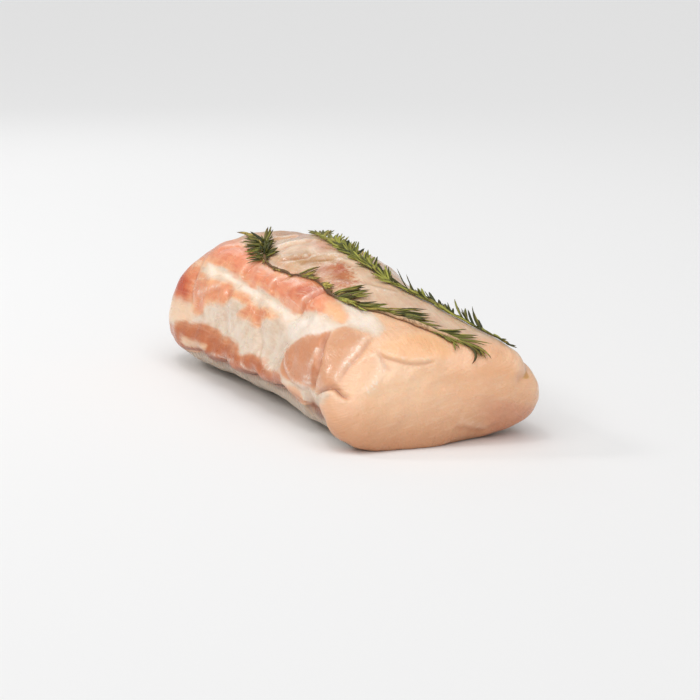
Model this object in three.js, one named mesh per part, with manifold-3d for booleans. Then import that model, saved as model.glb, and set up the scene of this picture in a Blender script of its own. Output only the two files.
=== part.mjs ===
// A boned and trimmed pork loin roast lying on its fat cap, dressed with two sprigs of rosemary.
// Millimetres, +Z up. +X runs to the near cut end, and the shown flank faces -Y.
import * as THREE from 'three';
import Module from 'manifold-3d';

// The roast. A list of three holds the value at the far end, in the middle and at the near end.
const roastLength = 215;
const shownHalfWidth = [62.5, 49.5, 52];
const hiddenHalfWidth = [58, 54.5, 58];
const crownHeight = [71, 74.5, 48];
const widestHeight = 17.5;
const baseSink = 3; // how far the rounded underside is pressed flat
const crownPower = { shown: 2.25, hidden: 2 }; // 2 is an ellipse, more is boxier
const basePower = { shown: 2.1, hidden: 2.5 };
const farEnd = { depth: 45, power: 3.8, core: 37, slant: 0.27 };
const nearEnd = { depth: 21, power: 4.2, core: 34.5, slant: -0.06, twist: 0.0097, lean: 0.0035 };
const endShare = 0.2; // share of the skin's length that each end takes
const skinSpan = 247; // millimetres of skin for a whole step along
const degreeSpan = 0.9; // millimetres of skin for a degree around
const slantReach = 0.55; // share of the roast over which an end's slant fades out
const unevenness = 0.45; // height of each of three slow waves over the skin
const unevenWaves = [
  { across: new THREE.Vector3(1 / 9, 1 / 14, 0), phase: 0 },
  { across: new THREE.Vector3(0, 1 / 8, -1 / 11), phase: 2 },
  { across: new THREE.Vector3(1 / 17, 0, 1 / 7), phase: 4 },
];

// Places on the skin are [along, around]: along is 0 at the far end's middle and 1 at the near end's,
// around is in degrees, 0 on the hidden side, 90 on the crown, 180 on the shown flank, 270 underneath.
const bulges = [
  // Rib muscle in four puffy lengths, dome over the far end, lower muscle with its hanging lobes.
  { route: [[0.14, 127], [0.3, 131], [0.45, 131], [0.58, 129], [0.7, 123]], width: 8, height: 1.2 },
  { route: [[0.2, 129], [0.26, 130]], width: 9, height: 1.3 },
  { route: [[0.34, 133], [0.39, 133]], width: 9, height: 1.3 },
  { route: [[0.47, 130], [0.54, 129]], width: 9, height: 1.5 },
  { route: [[0.62, 126], [0.68, 124.5]], width: 8, height: 1.3 },
  { route: [[0.1, 128], [0.11, 150]], width: 9, height: 1.2 },
  { route: [[0.112, 150], [0.117, 171]], width: 12, height: 2.2 },
  { route: [[0.18, 151], [0.2, 152], [0.3, 150]], width: 9, height: 1.2 },
  { route: [[0.15, 176], [0.38, 176], [0.58, 174]], width: 8, height: 1.5 },
  { route: [[0.16, 181], [0.18, 182]], width: 8, height: 2 },
  { route: [[0.25, 184], [0.3, 186]], width: 9, height: 2.8 },
  { route: [[0.37, 184], [0.42, 184]], width: 9, height: 2.8 },
  { route: [[0.51, 180], [0.54, 179]], width: 8, height: 2.4 },
  // Two pillows behind the near end, the lobe at its corner, and the tongue over the near cut.
  { route: [[0.65, 164], [0.72, 149]], width: 14, height: 3.2 },
  { route: [[0.825, 152], [0.815, 134]], width: 14, height: 2.6 },
  { route: [[0.85, 182], [0.865, 200], [0.86, 230]], width: 12, height: 1.4 },
  { route: [[0.88, 100], [0.94, 104]], width: 14, height: 2 },
  // The hidden shoulder with a dip behind it, crown and flank, and the near lower corner, which falls away.
  { route: [[0.74, 44], [0.83, 37]], width: 16, height: 2.9 },
  { route: [[0.487, 45], [0.584, 52]], width: 19.8, height: -4.2 },
  { route: [[0.67, 49], [0.72, 46]], width: 12.9, height: -2.8 },
  { route: [[0.4, 84], [0.6, 76]], width: 20, height: 1.2 },
  { route: [[0.2, 20], [0.45, 25], [0.65, 20]], width: 16, height: 2 },
  { route: [[0.25, 352], [0.5, 354], [0.75, 352]], width: 10, height: 2 },
  { route: [[0.89, 300], [0.9, 320]], width: 14, height: -2 },
];
// A fold is a cut with a lip raised on its left as one goes along it, or on its right for a negative lip.
const folds = [
  // Seam of fat and edge of the silverskin.
  { depth: 1.6, width: 4, lip: 0, route: [[0.16, 138], [0.25, 140], [0.4, 142], [0.55, 141], [0.66, 136]] },
  { depth: 0.5, width: 3, lip: 0.9, route: [[0.2, 121], [0.35, 124], [0.5, 120], [0.62, 119], [0.73, 119]] },
  // Creases behind each of the two pillows, and the one over the flap under them.
  {
    depth: 1.6,
    width: 3.2,
    lip: -0.7,
    route: [[0.735, 132], [0.762, 140.5], [0.782, 147.5], [0.786, 155], [0.773, 163], [0.757, 172]],
  },
  { depth: 0.8, width: 3.2, lip: -0.3, route: [[0.838, 113], [0.867, 121], [0.883, 130], [0.887, 156]] },
  {
    depth: 1.6,
    width: 3.8,
    lip: -1,
    route: [[0.77, 172], [0.795, 168.8], [0.825, 165.5], [0.855, 162.3], [0.876, 160], [0.89, 161]],
  },
  // Furrows that part the rib muscle's lengths, others across the flank, and a groove in the far dome.
  { depth: 1, width: 2.2, lip: -0.6, route: [[0.292, 121], [0.29, 129], [0.285, 139]] },
  { depth: 1, width: 2.2, lip: -0.6, route: [[0.442, 121], [0.431, 129], [0.419, 139]] },
  { depth: 1.4, width: 2.2, lip: -0.7, route: [[0.588, 117], [0.588, 125], [0.58, 132], [0.568, 141]] },
  { depth: 0.8, width: 3.2, lip: 0.4, route: [[0.265, 138], [0.301, 160], [0.315, 168]] },
  { depth: 0.8, width: 3.2, lip: 0.4, route: [[0.37, 142], [0.472, 164], [0.478, 170]] },
  { depth: 0.9, width: 2.2, lip: 0.6, route: [[0.138, 133], [0.151, 144.5], [0.158, 150.5], [0.172, 161]] },
  // Crevice between the hanging lobes and the fat cap, and the recess behind the near lobe.
  {
    depth: 3.8,
    width: 3.4,
    lip: 3.2,
    route: [[0.13, 196], [0.179, 192.7], [0.219, 187], [0.245, 187], [0.265, 192.5], [0.285, 194],
      [0.315, 190], [0.342, 184.5], [0.358, 189], [0.385, 191.5], [0.41, 190], [0.44, 187], [0.475, 182],
      [0.495, 182], [0.512, 186], [0.54, 185], [0.575, 181], [0.602, 180], [0.633, 185.5], [0.67, 186],
      [0.704, 184]],
  },
  { depth: 3.2, width: 6, lip: 0, route: [[0.7, 187], [0.76, 192], [0.83, 203]] },
  // Edge of the tongue, notch in the hidden limb, and a small crease in the near cut.
  {
    depth: 0.5,
    width: 2.2,
    lip: 0.9,
    route: [[0.892, 121], [0.91, 120.5], [0.928, 117.5], [0.939, 112], [0.94, 100], [0.931, 88]],
  },
  { depth: 1.7, width: 3, lip: -0.8, route: [[0.78, 38], [0.865, 33], [0.915, 28]] },
  { depth: 0.6, width: 2.2, lip: 0.4, route: [[0.925, 284], [0.915, 293], [0.893, 303]] },
  // Wrinkles of the silverskin.
  { depth: 0.7, width: 2.2, lip: 0.5, route: [[0.335, 121], [0.355, 118.5], [0.375, 114.5], [0.409, 105]] },
  { depth: 0.8, width: 2.2, lip: 0.6, route: [[0.29, 117], [0.307, 107], [0.325, 100], [0.315, 86]] },
  // The hidden flank's seam, the fat cap's edge under it, and two creases in the far cut.
  { depth: 2.2, width: 4, lip: -1.4, route: [[0.13, 17], [0.4, 5], [0.65, 9], [0.83, 2]] },
  { depth: 2.6, width: 4.5, lip: -2.4, route: [[0.11, 340], [0.35, 344], [0.6, 339], [0.85, 345]] },
  { depth: 1.4, width: 3, lip: 1, route: [[0.13, 112], [0.07, 135], [0.035, 190]] },
  { depth: 1.1, width: 3, lip: 0.6, route: [[0.12, 35], [0.06, 30], [0.03, 300]] },
];
const stepsPerPlace = 5; // straight steps to each place of a route
const lipReach = 9; // how far a fold's raised lip reaches
const foldFade = 0.16; // share of a fold's length over which each of its ends runs out
const roastRows = 58;
const roastColumns = 68;
const crowding = { middle: 125, share: 22 }; // degrees around where the columns crowd, and by how much

// The sprigs. A route runs from the dense tuft or the near end along the stem. Needles come in clusters: a
// stretch of the stem, how many there are, how many degrees they turn off the stem (negative is to the left
// of travel, seen from outside), how far they lift off the skin as a share of length, and their length.
const restGap = 0.5; // from the stem down to the skin
const stemSteps = 40;
const stemSides = 6;
const needleSides = 4;
const needleHalfWidth = 1;
const needleHalfThickness = 0.45;
const needleRise = 0.8; // height that a needle gains over the stem's middle
const liftPower = 1.5; // how late along a needle its lift off the skin comes
const needleCurl = 0.18; // share of its turn that a needle bends back by, where it points along the stem
const needleShape = [[0, 0], [0.12, 0.6], [0.45, 1], [0.8, 0.8], [1, 0]]; // shares of length and width
const nearMost = 0.985; // needles stop short of the near end's middle
const frontSprig = {
  name: 'rosemary_front',
  seed: 7,
  stemRadius: [0.6, 0.9], // at the start of the route and at its end
  route: [[0.2, 109.5], [0.25, 115.5], [0.295, 121.5], [0.341, 126], [0.405, 126.5], [0.488, 121.5],
    [0.54, 119.5], [0.63, 119.5], [0.706, 113], [0.755, 103], [0.799, 93], [0.833, 85], [0.85, 78],
    [0.866, 73]],
  clusters: [
    // The dense tuft in bunches, and a pair of bunches lower down.
    { stretch: [0.03, 0.1], count: 5, turn: [76, 98], lift: [0.02, 0.3], length: [7, 10] },
    { stretch: [0.02, 0.05], count: 3, turn: [100, 145], lift: [0.1, 0.4], length: [8, 12] },
    { stretch: [0.02, 0.05], count: 3, turn: [195, 225], lift: [0.25, 0.6], length: [8, 11] },
    { stretch: [0.03, 0.08], count: 3, turn: [-75, -30], lift: [0.05, 0.3], length: [6, 9] },
    { stretch: [0.13, 0.16], count: 3, turn: [-72, -42], lift: [0.05, 0.3], length: [7, 10] },
    { stretch: [0.12, 0.15], count: 2, turn: [95, 130], lift: [0.03, 0.2], length: [7, 10] },
    // A few along the middle.
    { stretch: [0.36, 0.4], count: 1, turn: [-40, -16], lift: [0.05, 0.2], length: [8, 15] },
    { stretch: [0.35, 0.43], count: 2, turn: [-8, 6], lift: [0.02, 0.1], length: [8, 14] },
    { stretch: [0.49, 0.54], count: 3, turn: [-26, -6], lift: [0.03, 0.14], length: [7, 12] },
    // Bunches along the rest and at the end.
    { stretch: [0.59, 0.645], count: 4, turn: [-78, -54], lift: [0.04, 0.2], length: [13, 18] },
    { stretch: [0.59, 0.68], count: 3, turn: [-16, 3], lift: [0.04, 0.12], length: [10, 16] },
    { stretch: [0.674, 0.737], count: 3, turn: [-38, -18], lift: [0.05, 0.14], length: [11, 16] },
    { stretch: [0.706, 0.79], count: 3, turn: [-22, -4], lift: [0.05, 0.14], length: [11, 17] },
    { stretch: [0.77, 0.825], count: 3, turn: [-56, -36], lift: [0.04, 0.14], length: [14, 21] },
    { stretch: [0.805, 0.86], count: 3, turn: [-42, -20], lift: [0.03, 0.14], length: [12, 18] },
    { stretch: [0.9, 0.96], count: 2, turn: [3, 16], lift: [0.02, 0.08], length: [8, 14] },
    { stretch: [0.93, 0.98], count: 4, turn: [-10, 10], lift: [0.03, 0.12], length: [14, 22] },
    { stretch: [0.92, 0.97], count: 3, turn: [-62, -26], lift: [0.05, 0.2], length: [11, 17] },
    { stretch: [0.94, 0.98], count: 2, turn: [34, 66], lift: [0.03, 0.1], length: [8, 14] },
  ],
};
const rearSprig = {
  name: 'rosemary_rear',
  seed: 23,
  stemRadius: [0.6, 0.5],
  route: [[0.822, 46.5], [0.8, 50], [0.777, 52.5], [0.757, 56], [0.732, 60.5], [0.703, 65], [0.677, 69.5],
    [0.655, 74], [0.632, 78.5], [0.602, 83.8], [0.489, 88.5], [0.351, 87], [0.2, 79]],
  clusters: [
    { stretch: [0.3, 0.97], count: 12, turn: [14, 56], lift: [0.1, 0.5], length: [8, 12] },
    { stretch: [0.04, 0.28], count: 7, turn: [8, 40], lift: [0.45, 0.85], length: [8, 12] },
    { stretch: [0.08, 0.97], count: 12, turn: [-34, -6], lift: [0.03, 0.2], length: [9, 13] },
    { stretch: [0.1, 0.97], count: 8, turn: [-12, 20], lift: [0.06, 0.25], length: [9, 13] },
  ],
};

const rawFlesh = new THREE.MeshStandardMaterial({ color: 0xe9b491, roughness: 0.45, metalness: 0 });
const needleGreen = { color: 0x4f6130, roughness: 0.5, metalness: 0 };

const wasm = await Module();
wasm.setup();

// A value that bends smoothly through its far, middle and near ones.
function bend([far, middle, near], share) {
  const rest = 1 - share;
  return far * rest * (rest - share) + middle * 4 * share * rest + near * share * (share - rest);
}

// The point of a superellipse of half sizes 1 that lies at an angle.
function rounded(angle, power) {
  const [c, s] = [Math.cos(angle), Math.sin(angle)];
  const radius = (Math.abs(c) ** power + Math.abs(s) ** power) ** (-1 / power);
  return [radius * c, radius * s];
}

// The smooth form under the relief: superellipse sections that shrink into a blunt cap at each end.
function bareSkin(along, around) {
  const [farX, nearX] = [farEnd.depth - roastLength / 2, roastLength / 2 - nearEnd.depth];
  let x = farX + ((nearX - farX) * (along - endShare)) / (1 - 2 * endShare);
  let shrink = 1;
  if (along < endShare) {
    const [out, rim] = rounded((along / endShare) * (Math.PI / 2), farEnd.power);
    x = farX - farEnd.depth * out;
    shrink = rim;
  } else if (along > 1 - endShare) {
    const [out, rim] = rounded(((1 - along) / endShare) * (Math.PI / 2), nearEnd.power);
    x = nearX + nearEnd.depth * out;
    shrink = rim;
  }
  const share = x / roastLength + 0.5;
  const angle = THREE.MathUtils.degToRad(around);
  const power = Math.sin(angle) >= 0 ? crownPower : basePower;
  const [side, rise] = rounded(angle, Math.cos(angle) >= 0 ? power.hidden : power.shown);
  const y = shrink * side * bend(side >= 0 ? hiddenHalfWidth : shownHalfWidth, share);
  const reach = rise >= 0 ? bend(crownHeight, share) - widestHeight : widestHeight + baseSink;
  const core = THREE.MathUtils.lerp(farEnd.core, nearEnd.core, THREE.MathUtils.smoothstep(share, 0, 1));
  const z = core + shrink * (widestHeight + reach * rise - core);
  const nearPull = Math.max(0, (share - 1 + slantReach) / slantReach) ** 2;
  const farPull = Math.max(0, (slantReach - share) / slantReach) ** 2;
  const height = Math.max(z, 0);
  const nearSlant = nearEnd.slant + nearEnd.twist * height;
  x += nearPull * (nearSlant * y - nearEnd.lean * height * height) + farPull * farEnd.slant * y;
  return new THREE.Vector3(x, y, z);
}

// Outward direction of the bare skin, and how many millimetres a step along or around covers there.
function skinFrame(along, around) {
  const [alongStep, aroundStep] = [0.002, 0.5];
  const a = THREE.MathUtils.clamp(along, 3 * alongStep, 1 - 3 * alongStep);
  const down = bareSkin(a + alongStep, around).sub(bareSkin(a - alongStep, around));
  const across = bareSkin(a, around + aroundStep).sub(bareSkin(a, around - aroundStep));
  const normal = new THREE.Vector3().crossVectors(across, down).normalize();
  const [perAlong, perAround] = [down.length() / (2 * alongStep), across.length() / (2 * aroundStep)];
  return { normal, perAlong, perAround };
}

// A smooth curve through the places of a route, on the skin laid out flat in millimetres.
function flatCurve(route) {
  const flat = route.map(([along, around]) => new THREE.Vector2(along * skinSpan, around * degreeSpan));
  return new THREE.SplineCurve(flat);
}

function placeOf(flat) {
  return { along: flat.x / skinSpan, around: flat.y / degreeSpan };
}

function lineOnSkin(route) {
  const places = flatCurve(route).getPoints(stepsPerPlace * (route.length - 1)).map(placeOf);
  return places.map(({ along, around }) => bareSkin(along, around));
}

// The nearest point of a line: its distance, its share of the line, and on which side of it the point lies.
function nearestOnLine(point, normal, line) {
  let best = { distance: Infinity };
  for (let i = 0; i + 1 < line.length; i += 1) {
    const step = line[i + 1].clone().sub(line[i]);
    const offset = point.clone().sub(line[i]);
    const part = THREE.MathUtils.clamp(offset.dot(step) / step.lengthSq(), 0, 1);
    offset.addScaledVector(step, -part);
    if (offset.length() < best.distance) {
      const side = Math.sign(step.cross(offset).dot(normal));
      best = { distance: offset.length(), share: (i + part) / (line.length - 1), side };
    }
  }
  return best;
}

const bulgeLines = bulges.map((bulge) => ({ ...bulge, line: lineOnSkin(bulge.route) }));
const foldLines = folds.map((fold) => ({ ...fold, line: lineOnSkin(fold.route) }));

// Height of the relief over the bare skin: slow unevenness, swelling muscles, and folds with a raised lip.
function relief(point, normal) {
  let height = 0;
  for (const wave of unevenWaves) {
    height += unevenness * Math.sin(point.dot(wave.across) + wave.phase);
  }
  for (const bulge of bulgeLines) {
    const { distance } = nearestOnLine(point, normal, bulge.line);
    height += bulge.height * Math.exp(-((distance / bulge.width) ** 2));
  }
  for (const fold of foldLines) {
    const { distance, share, side } = nearestOnLine(point, normal, fold.line);
    const fade = THREE.MathUtils.smoothstep(Math.min(share, 1 - share), 0, foldFade);
    const lip = fold.lip * side * Math.tanh(distance / fold.width) * Math.exp(-distance / lipReach);
    height += fade * (lip - fold.depth * Math.exp(-((distance / fold.width) ** 2)));
  }
  return height;
}

// The finished skin, pressed flat where it rests.
function skin(along, around) {
  const point = bareSkin(along, around);
  const { normal } = skinFrame(along, around);
  point.addScaledVector(normal, relief(point, normal));
  point.z = Math.max(point.z, 0);
  return point;
}

// A closed solid through rings of points, from a first tip to a last one.
function loft(firstTip, rings, lastTip) {
  const count = rings[0].length;
  const points = [firstTip, ...rings.flat(), lastTip];
  const last = points.length - 1;
  const at = (ring, i) => 1 + ring * count + (i % count);
  const index = [];
  for (let i = 0; i < count; i += 1) {
    index.push(0, at(0, i + 1), at(0, i));
    for (let ring = 0; ring + 1 < rings.length; ring += 1) {
      index.push(at(ring, i), at(ring, i + 1), at(ring + 1, i + 1));
      index.push(at(ring, i), at(ring + 1, i + 1), at(ring + 1, i));
    }
    index.push(last, at(rings.length - 1, i), at(rings.length - 1, i + 1));
  }
  const geometry = new THREE.BufferGeometry().setFromPoints(points);
  geometry.setIndex(index);
  return geometry;
}

function roastGeometry() {
  const rings = [];
  for (let row = 1; row < roastRows; row += 1) {
    const ring = [];
    for (let column = 0; column < roastColumns; column += 1) {
      const around = (column / roastColumns) * 360;
      const crowded = around - crowding.share * Math.sin(THREE.MathUtils.degToRad(around - crowding.middle));
      ring.push(skin(row / roastRows, crowded));
    }
    rings.push(ring);
  }
  return loft(skin(0, 0), rings, skin(1, 0));
}

// Random numbers from 0 to 1 that repeat for the same seed.
function seededDraws(seed) {
  const [factor, range] = [16807, 2147483647];
  let state = seed;
  return () => {
    state = (state * factor) % range;
    return state / range;
  };
}

// A tube or blade along a path on the skin: each point of the path has a place, a height over the skin,
// a half width and a half thickness, and the tips close it at both ends.
function strand(path, sides) {
  const spots = path.map(({ along, around, height }) => {
    const { normal } = skinFrame(along, around);
    return { centre: skin(along, around).addScaledVector(normal, height), normal };
  });
  const rings = [];
  for (let i = 1; i + 1 < path.length; i += 1) {
    const forward = spots[i + 1].centre.clone().sub(spots[i - 1].centre).normalize();
    const side = new THREE.Vector3().crossVectors(spots[i].normal, forward).normalize();
    const up = new THREE.Vector3().crossVectors(forward, side);
    const ring = [];
    for (let k = 0; k < sides; k += 1) {
      const angle = (k / sides) * Math.PI * 2;
      const point = spots[i].centre.clone();
      point.addScaledVector(side, Math.cos(angle) * path[i].halfWidth);
      ring.push(point.addScaledVector(up, Math.sin(angle) * path[i].halfThickness));
    }
    rings.push(ring);
  }
  return loft(spots[0].centre, rings, spots[spots.length - 1].centre);
}

function stemStrand(places, radii) {
  const path = places.map((place, i) => {
    const radius = radii[i];
    return { ...place, height: restGap + radius, halfWidth: radius, halfThickness: radius };
  });
  return strand(path, stemSides);
}

// A needle leaves the stem's middle at a heading (0 along, 90 around), curls and lifts off the skin.
function needleStrand(place, foot, heading, length, lift, curl) {
  const path = [];
  let { along, around } = place;
  let walked = 0;
  for (const [share, width] of needleShape) {
    const { perAlong, perAround } = skinFrame(along, around);
    const angle = THREE.MathUtils.degToRad(heading + curl * share);
    const step = (share - walked) * length;
    along = Math.min(along + (step * Math.cos(angle)) / perAlong, nearMost);
    around += (step * Math.sin(angle)) / perAround;
    walked = share;
    const height = foot + needleRise * Math.sqrt(share) + lift * length * share ** liftPower;
    const [halfWidth, halfThickness] = [needleHalfWidth * width, needleHalfThickness * width];
    path.push({ along, around, height, halfWidth, halfThickness });
  }
  return strand(path, needleSides);
}

function solid(geometry) {
  const vertProperties = geometry.attributes.position.array;
  const triVerts = new Uint32Array(geometry.index.array);
  return new wasm.Manifold(new wasm.Mesh({ numProp: 3, vertProperties, triVerts }));
}

function sprigGeometry(sprig) {
  const draw = seededDraws(sprig.seed);
  const between = ([low, high]) => low + (high - low) * draw();
  const curve = flatCurve(sprig.route);
  const places = curve.getSpacedPoints(stemSteps).map(placeOf);
  const radii = places.map((place, i) => THREE.MathUtils.lerp(...sprig.stemRadius, i / stemSteps));
  let body = solid(stemStrand(places, radii));
  // A needle starts in the stem at one of its steps, turned off the stem's own heading there.
  for (const cluster of sprig.clusters) {
    for (let i = 0; i < cluster.count; i += 1) {
      const step = Math.round(stemSteps * between(cluster.stretch));
      const turn = between(cluster.turn);
      const curl = Math.abs(turn) < 90 ? -needleCurl * turn : 0;
      const heading = THREE.MathUtils.radToDeg(curve.getTangentAt(step / stemSteps).angle()) + turn;
      const [length, lift] = [between(cluster.length), between(cluster.lift)];
      const needle = needleStrand(places[step], restGap + radii[step], heading, length, lift, curl);
      body = body.add(solid(needle));
    }
  }
  const mesh = body.getMesh();
  const geometry = new THREE.BufferGeometry();
  geometry.setAttribute('position', new THREE.BufferAttribute(new Float32Array(mesh.vertProperties), 3));
  geometry.setIndex(new THREE.BufferAttribute(new Uint32Array(mesh.triVerts), 1));
  return geometry;
}

function namedMesh(name, geometry, material) {
  const mesh = new THREE.Mesh(geometry, material);
  mesh.name = name;
  return mesh;
}

const roast = namedMesh('roast', roastGeometry(), rawFlesh);
const whole = new THREE.Group();
whole.add(roast);
for (const sprig of [frontSprig, rearSprig]) {
  whole.add(namedMesh(sprig.name, sprigGeometry(sprig), new THREE.MeshStandardMaterial(needleGreen)));
}

// The origin is under the middle of the whole, on the surface it rests on.
const middle = new THREE.Box3().setFromObject(whole).getCenter(new THREE.Vector3());
whole.position.set(-middle.x, -middle.y, 0);

export default whole;
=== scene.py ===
import math

import bpy
import numpy as np
from mathutils import Matrix, Vector


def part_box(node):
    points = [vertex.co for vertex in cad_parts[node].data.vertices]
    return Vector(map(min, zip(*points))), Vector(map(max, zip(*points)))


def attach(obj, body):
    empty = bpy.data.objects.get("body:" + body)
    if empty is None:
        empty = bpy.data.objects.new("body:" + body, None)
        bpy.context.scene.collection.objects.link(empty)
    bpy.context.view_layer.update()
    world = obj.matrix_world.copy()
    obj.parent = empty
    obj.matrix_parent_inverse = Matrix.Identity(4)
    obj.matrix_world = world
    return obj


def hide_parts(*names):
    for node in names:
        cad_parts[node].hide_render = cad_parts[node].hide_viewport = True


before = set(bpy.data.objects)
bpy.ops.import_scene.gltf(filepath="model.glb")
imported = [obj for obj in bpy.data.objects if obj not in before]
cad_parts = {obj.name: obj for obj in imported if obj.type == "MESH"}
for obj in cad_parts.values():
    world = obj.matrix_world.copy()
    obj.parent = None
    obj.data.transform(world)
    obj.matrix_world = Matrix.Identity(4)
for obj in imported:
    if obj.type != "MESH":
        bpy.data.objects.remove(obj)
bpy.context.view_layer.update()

mm = 0.001  # shapes are worked out in millimetres and put into the meshes in metres

# Form of the roast. A triple holds the value at the far end, in the middle and at the near end.
form = dict(
    length=215.0,
    shownHalfWidth=(62.5, 49.5, 52.0),
    hiddenHalfWidth=(58.0, 54.5, 58.0),
    crownHeight=(71.0, 74.5, 48.0),
    widestHeight=17.5,
    baseSink=3.0,  # how far the rounded underside is pressed flat
    crownPower=dict(shown=2.25, hidden=2.0),  # 2 is an ellipse, more is boxier
    basePower=dict(shown=2.1, hidden=2.5),
    farEnd=dict(depth=45.0, power=3.8, core=37.0, slant=0.27),
    nearEnd=dict(depth=21.0, power=4.2, core=34.5, slant=-0.06, twist=0.0097, lean=0.0035),
    endShare=0.2,  # share of the skin's length that each end takes
    slantReach=0.55,  # share of the roast over which an end's slant fades out
    skinSpan=247.0,  # millimetres of skin for a whole step along
    degreeSpan=0.9,  # millimetres of skin for a degree around
    nearCut=(0.885, 0.05),  # place along where the near cut starts, and how soon it is all cut
    deepest=12.0,  # millimetres to either side of a tissue's edge that are told apart
    rows=320,
    columns=300,
    crowding=dict(middle=125.0, share=22.0),  # degrees around where columns crowd, and by how much
)

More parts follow.
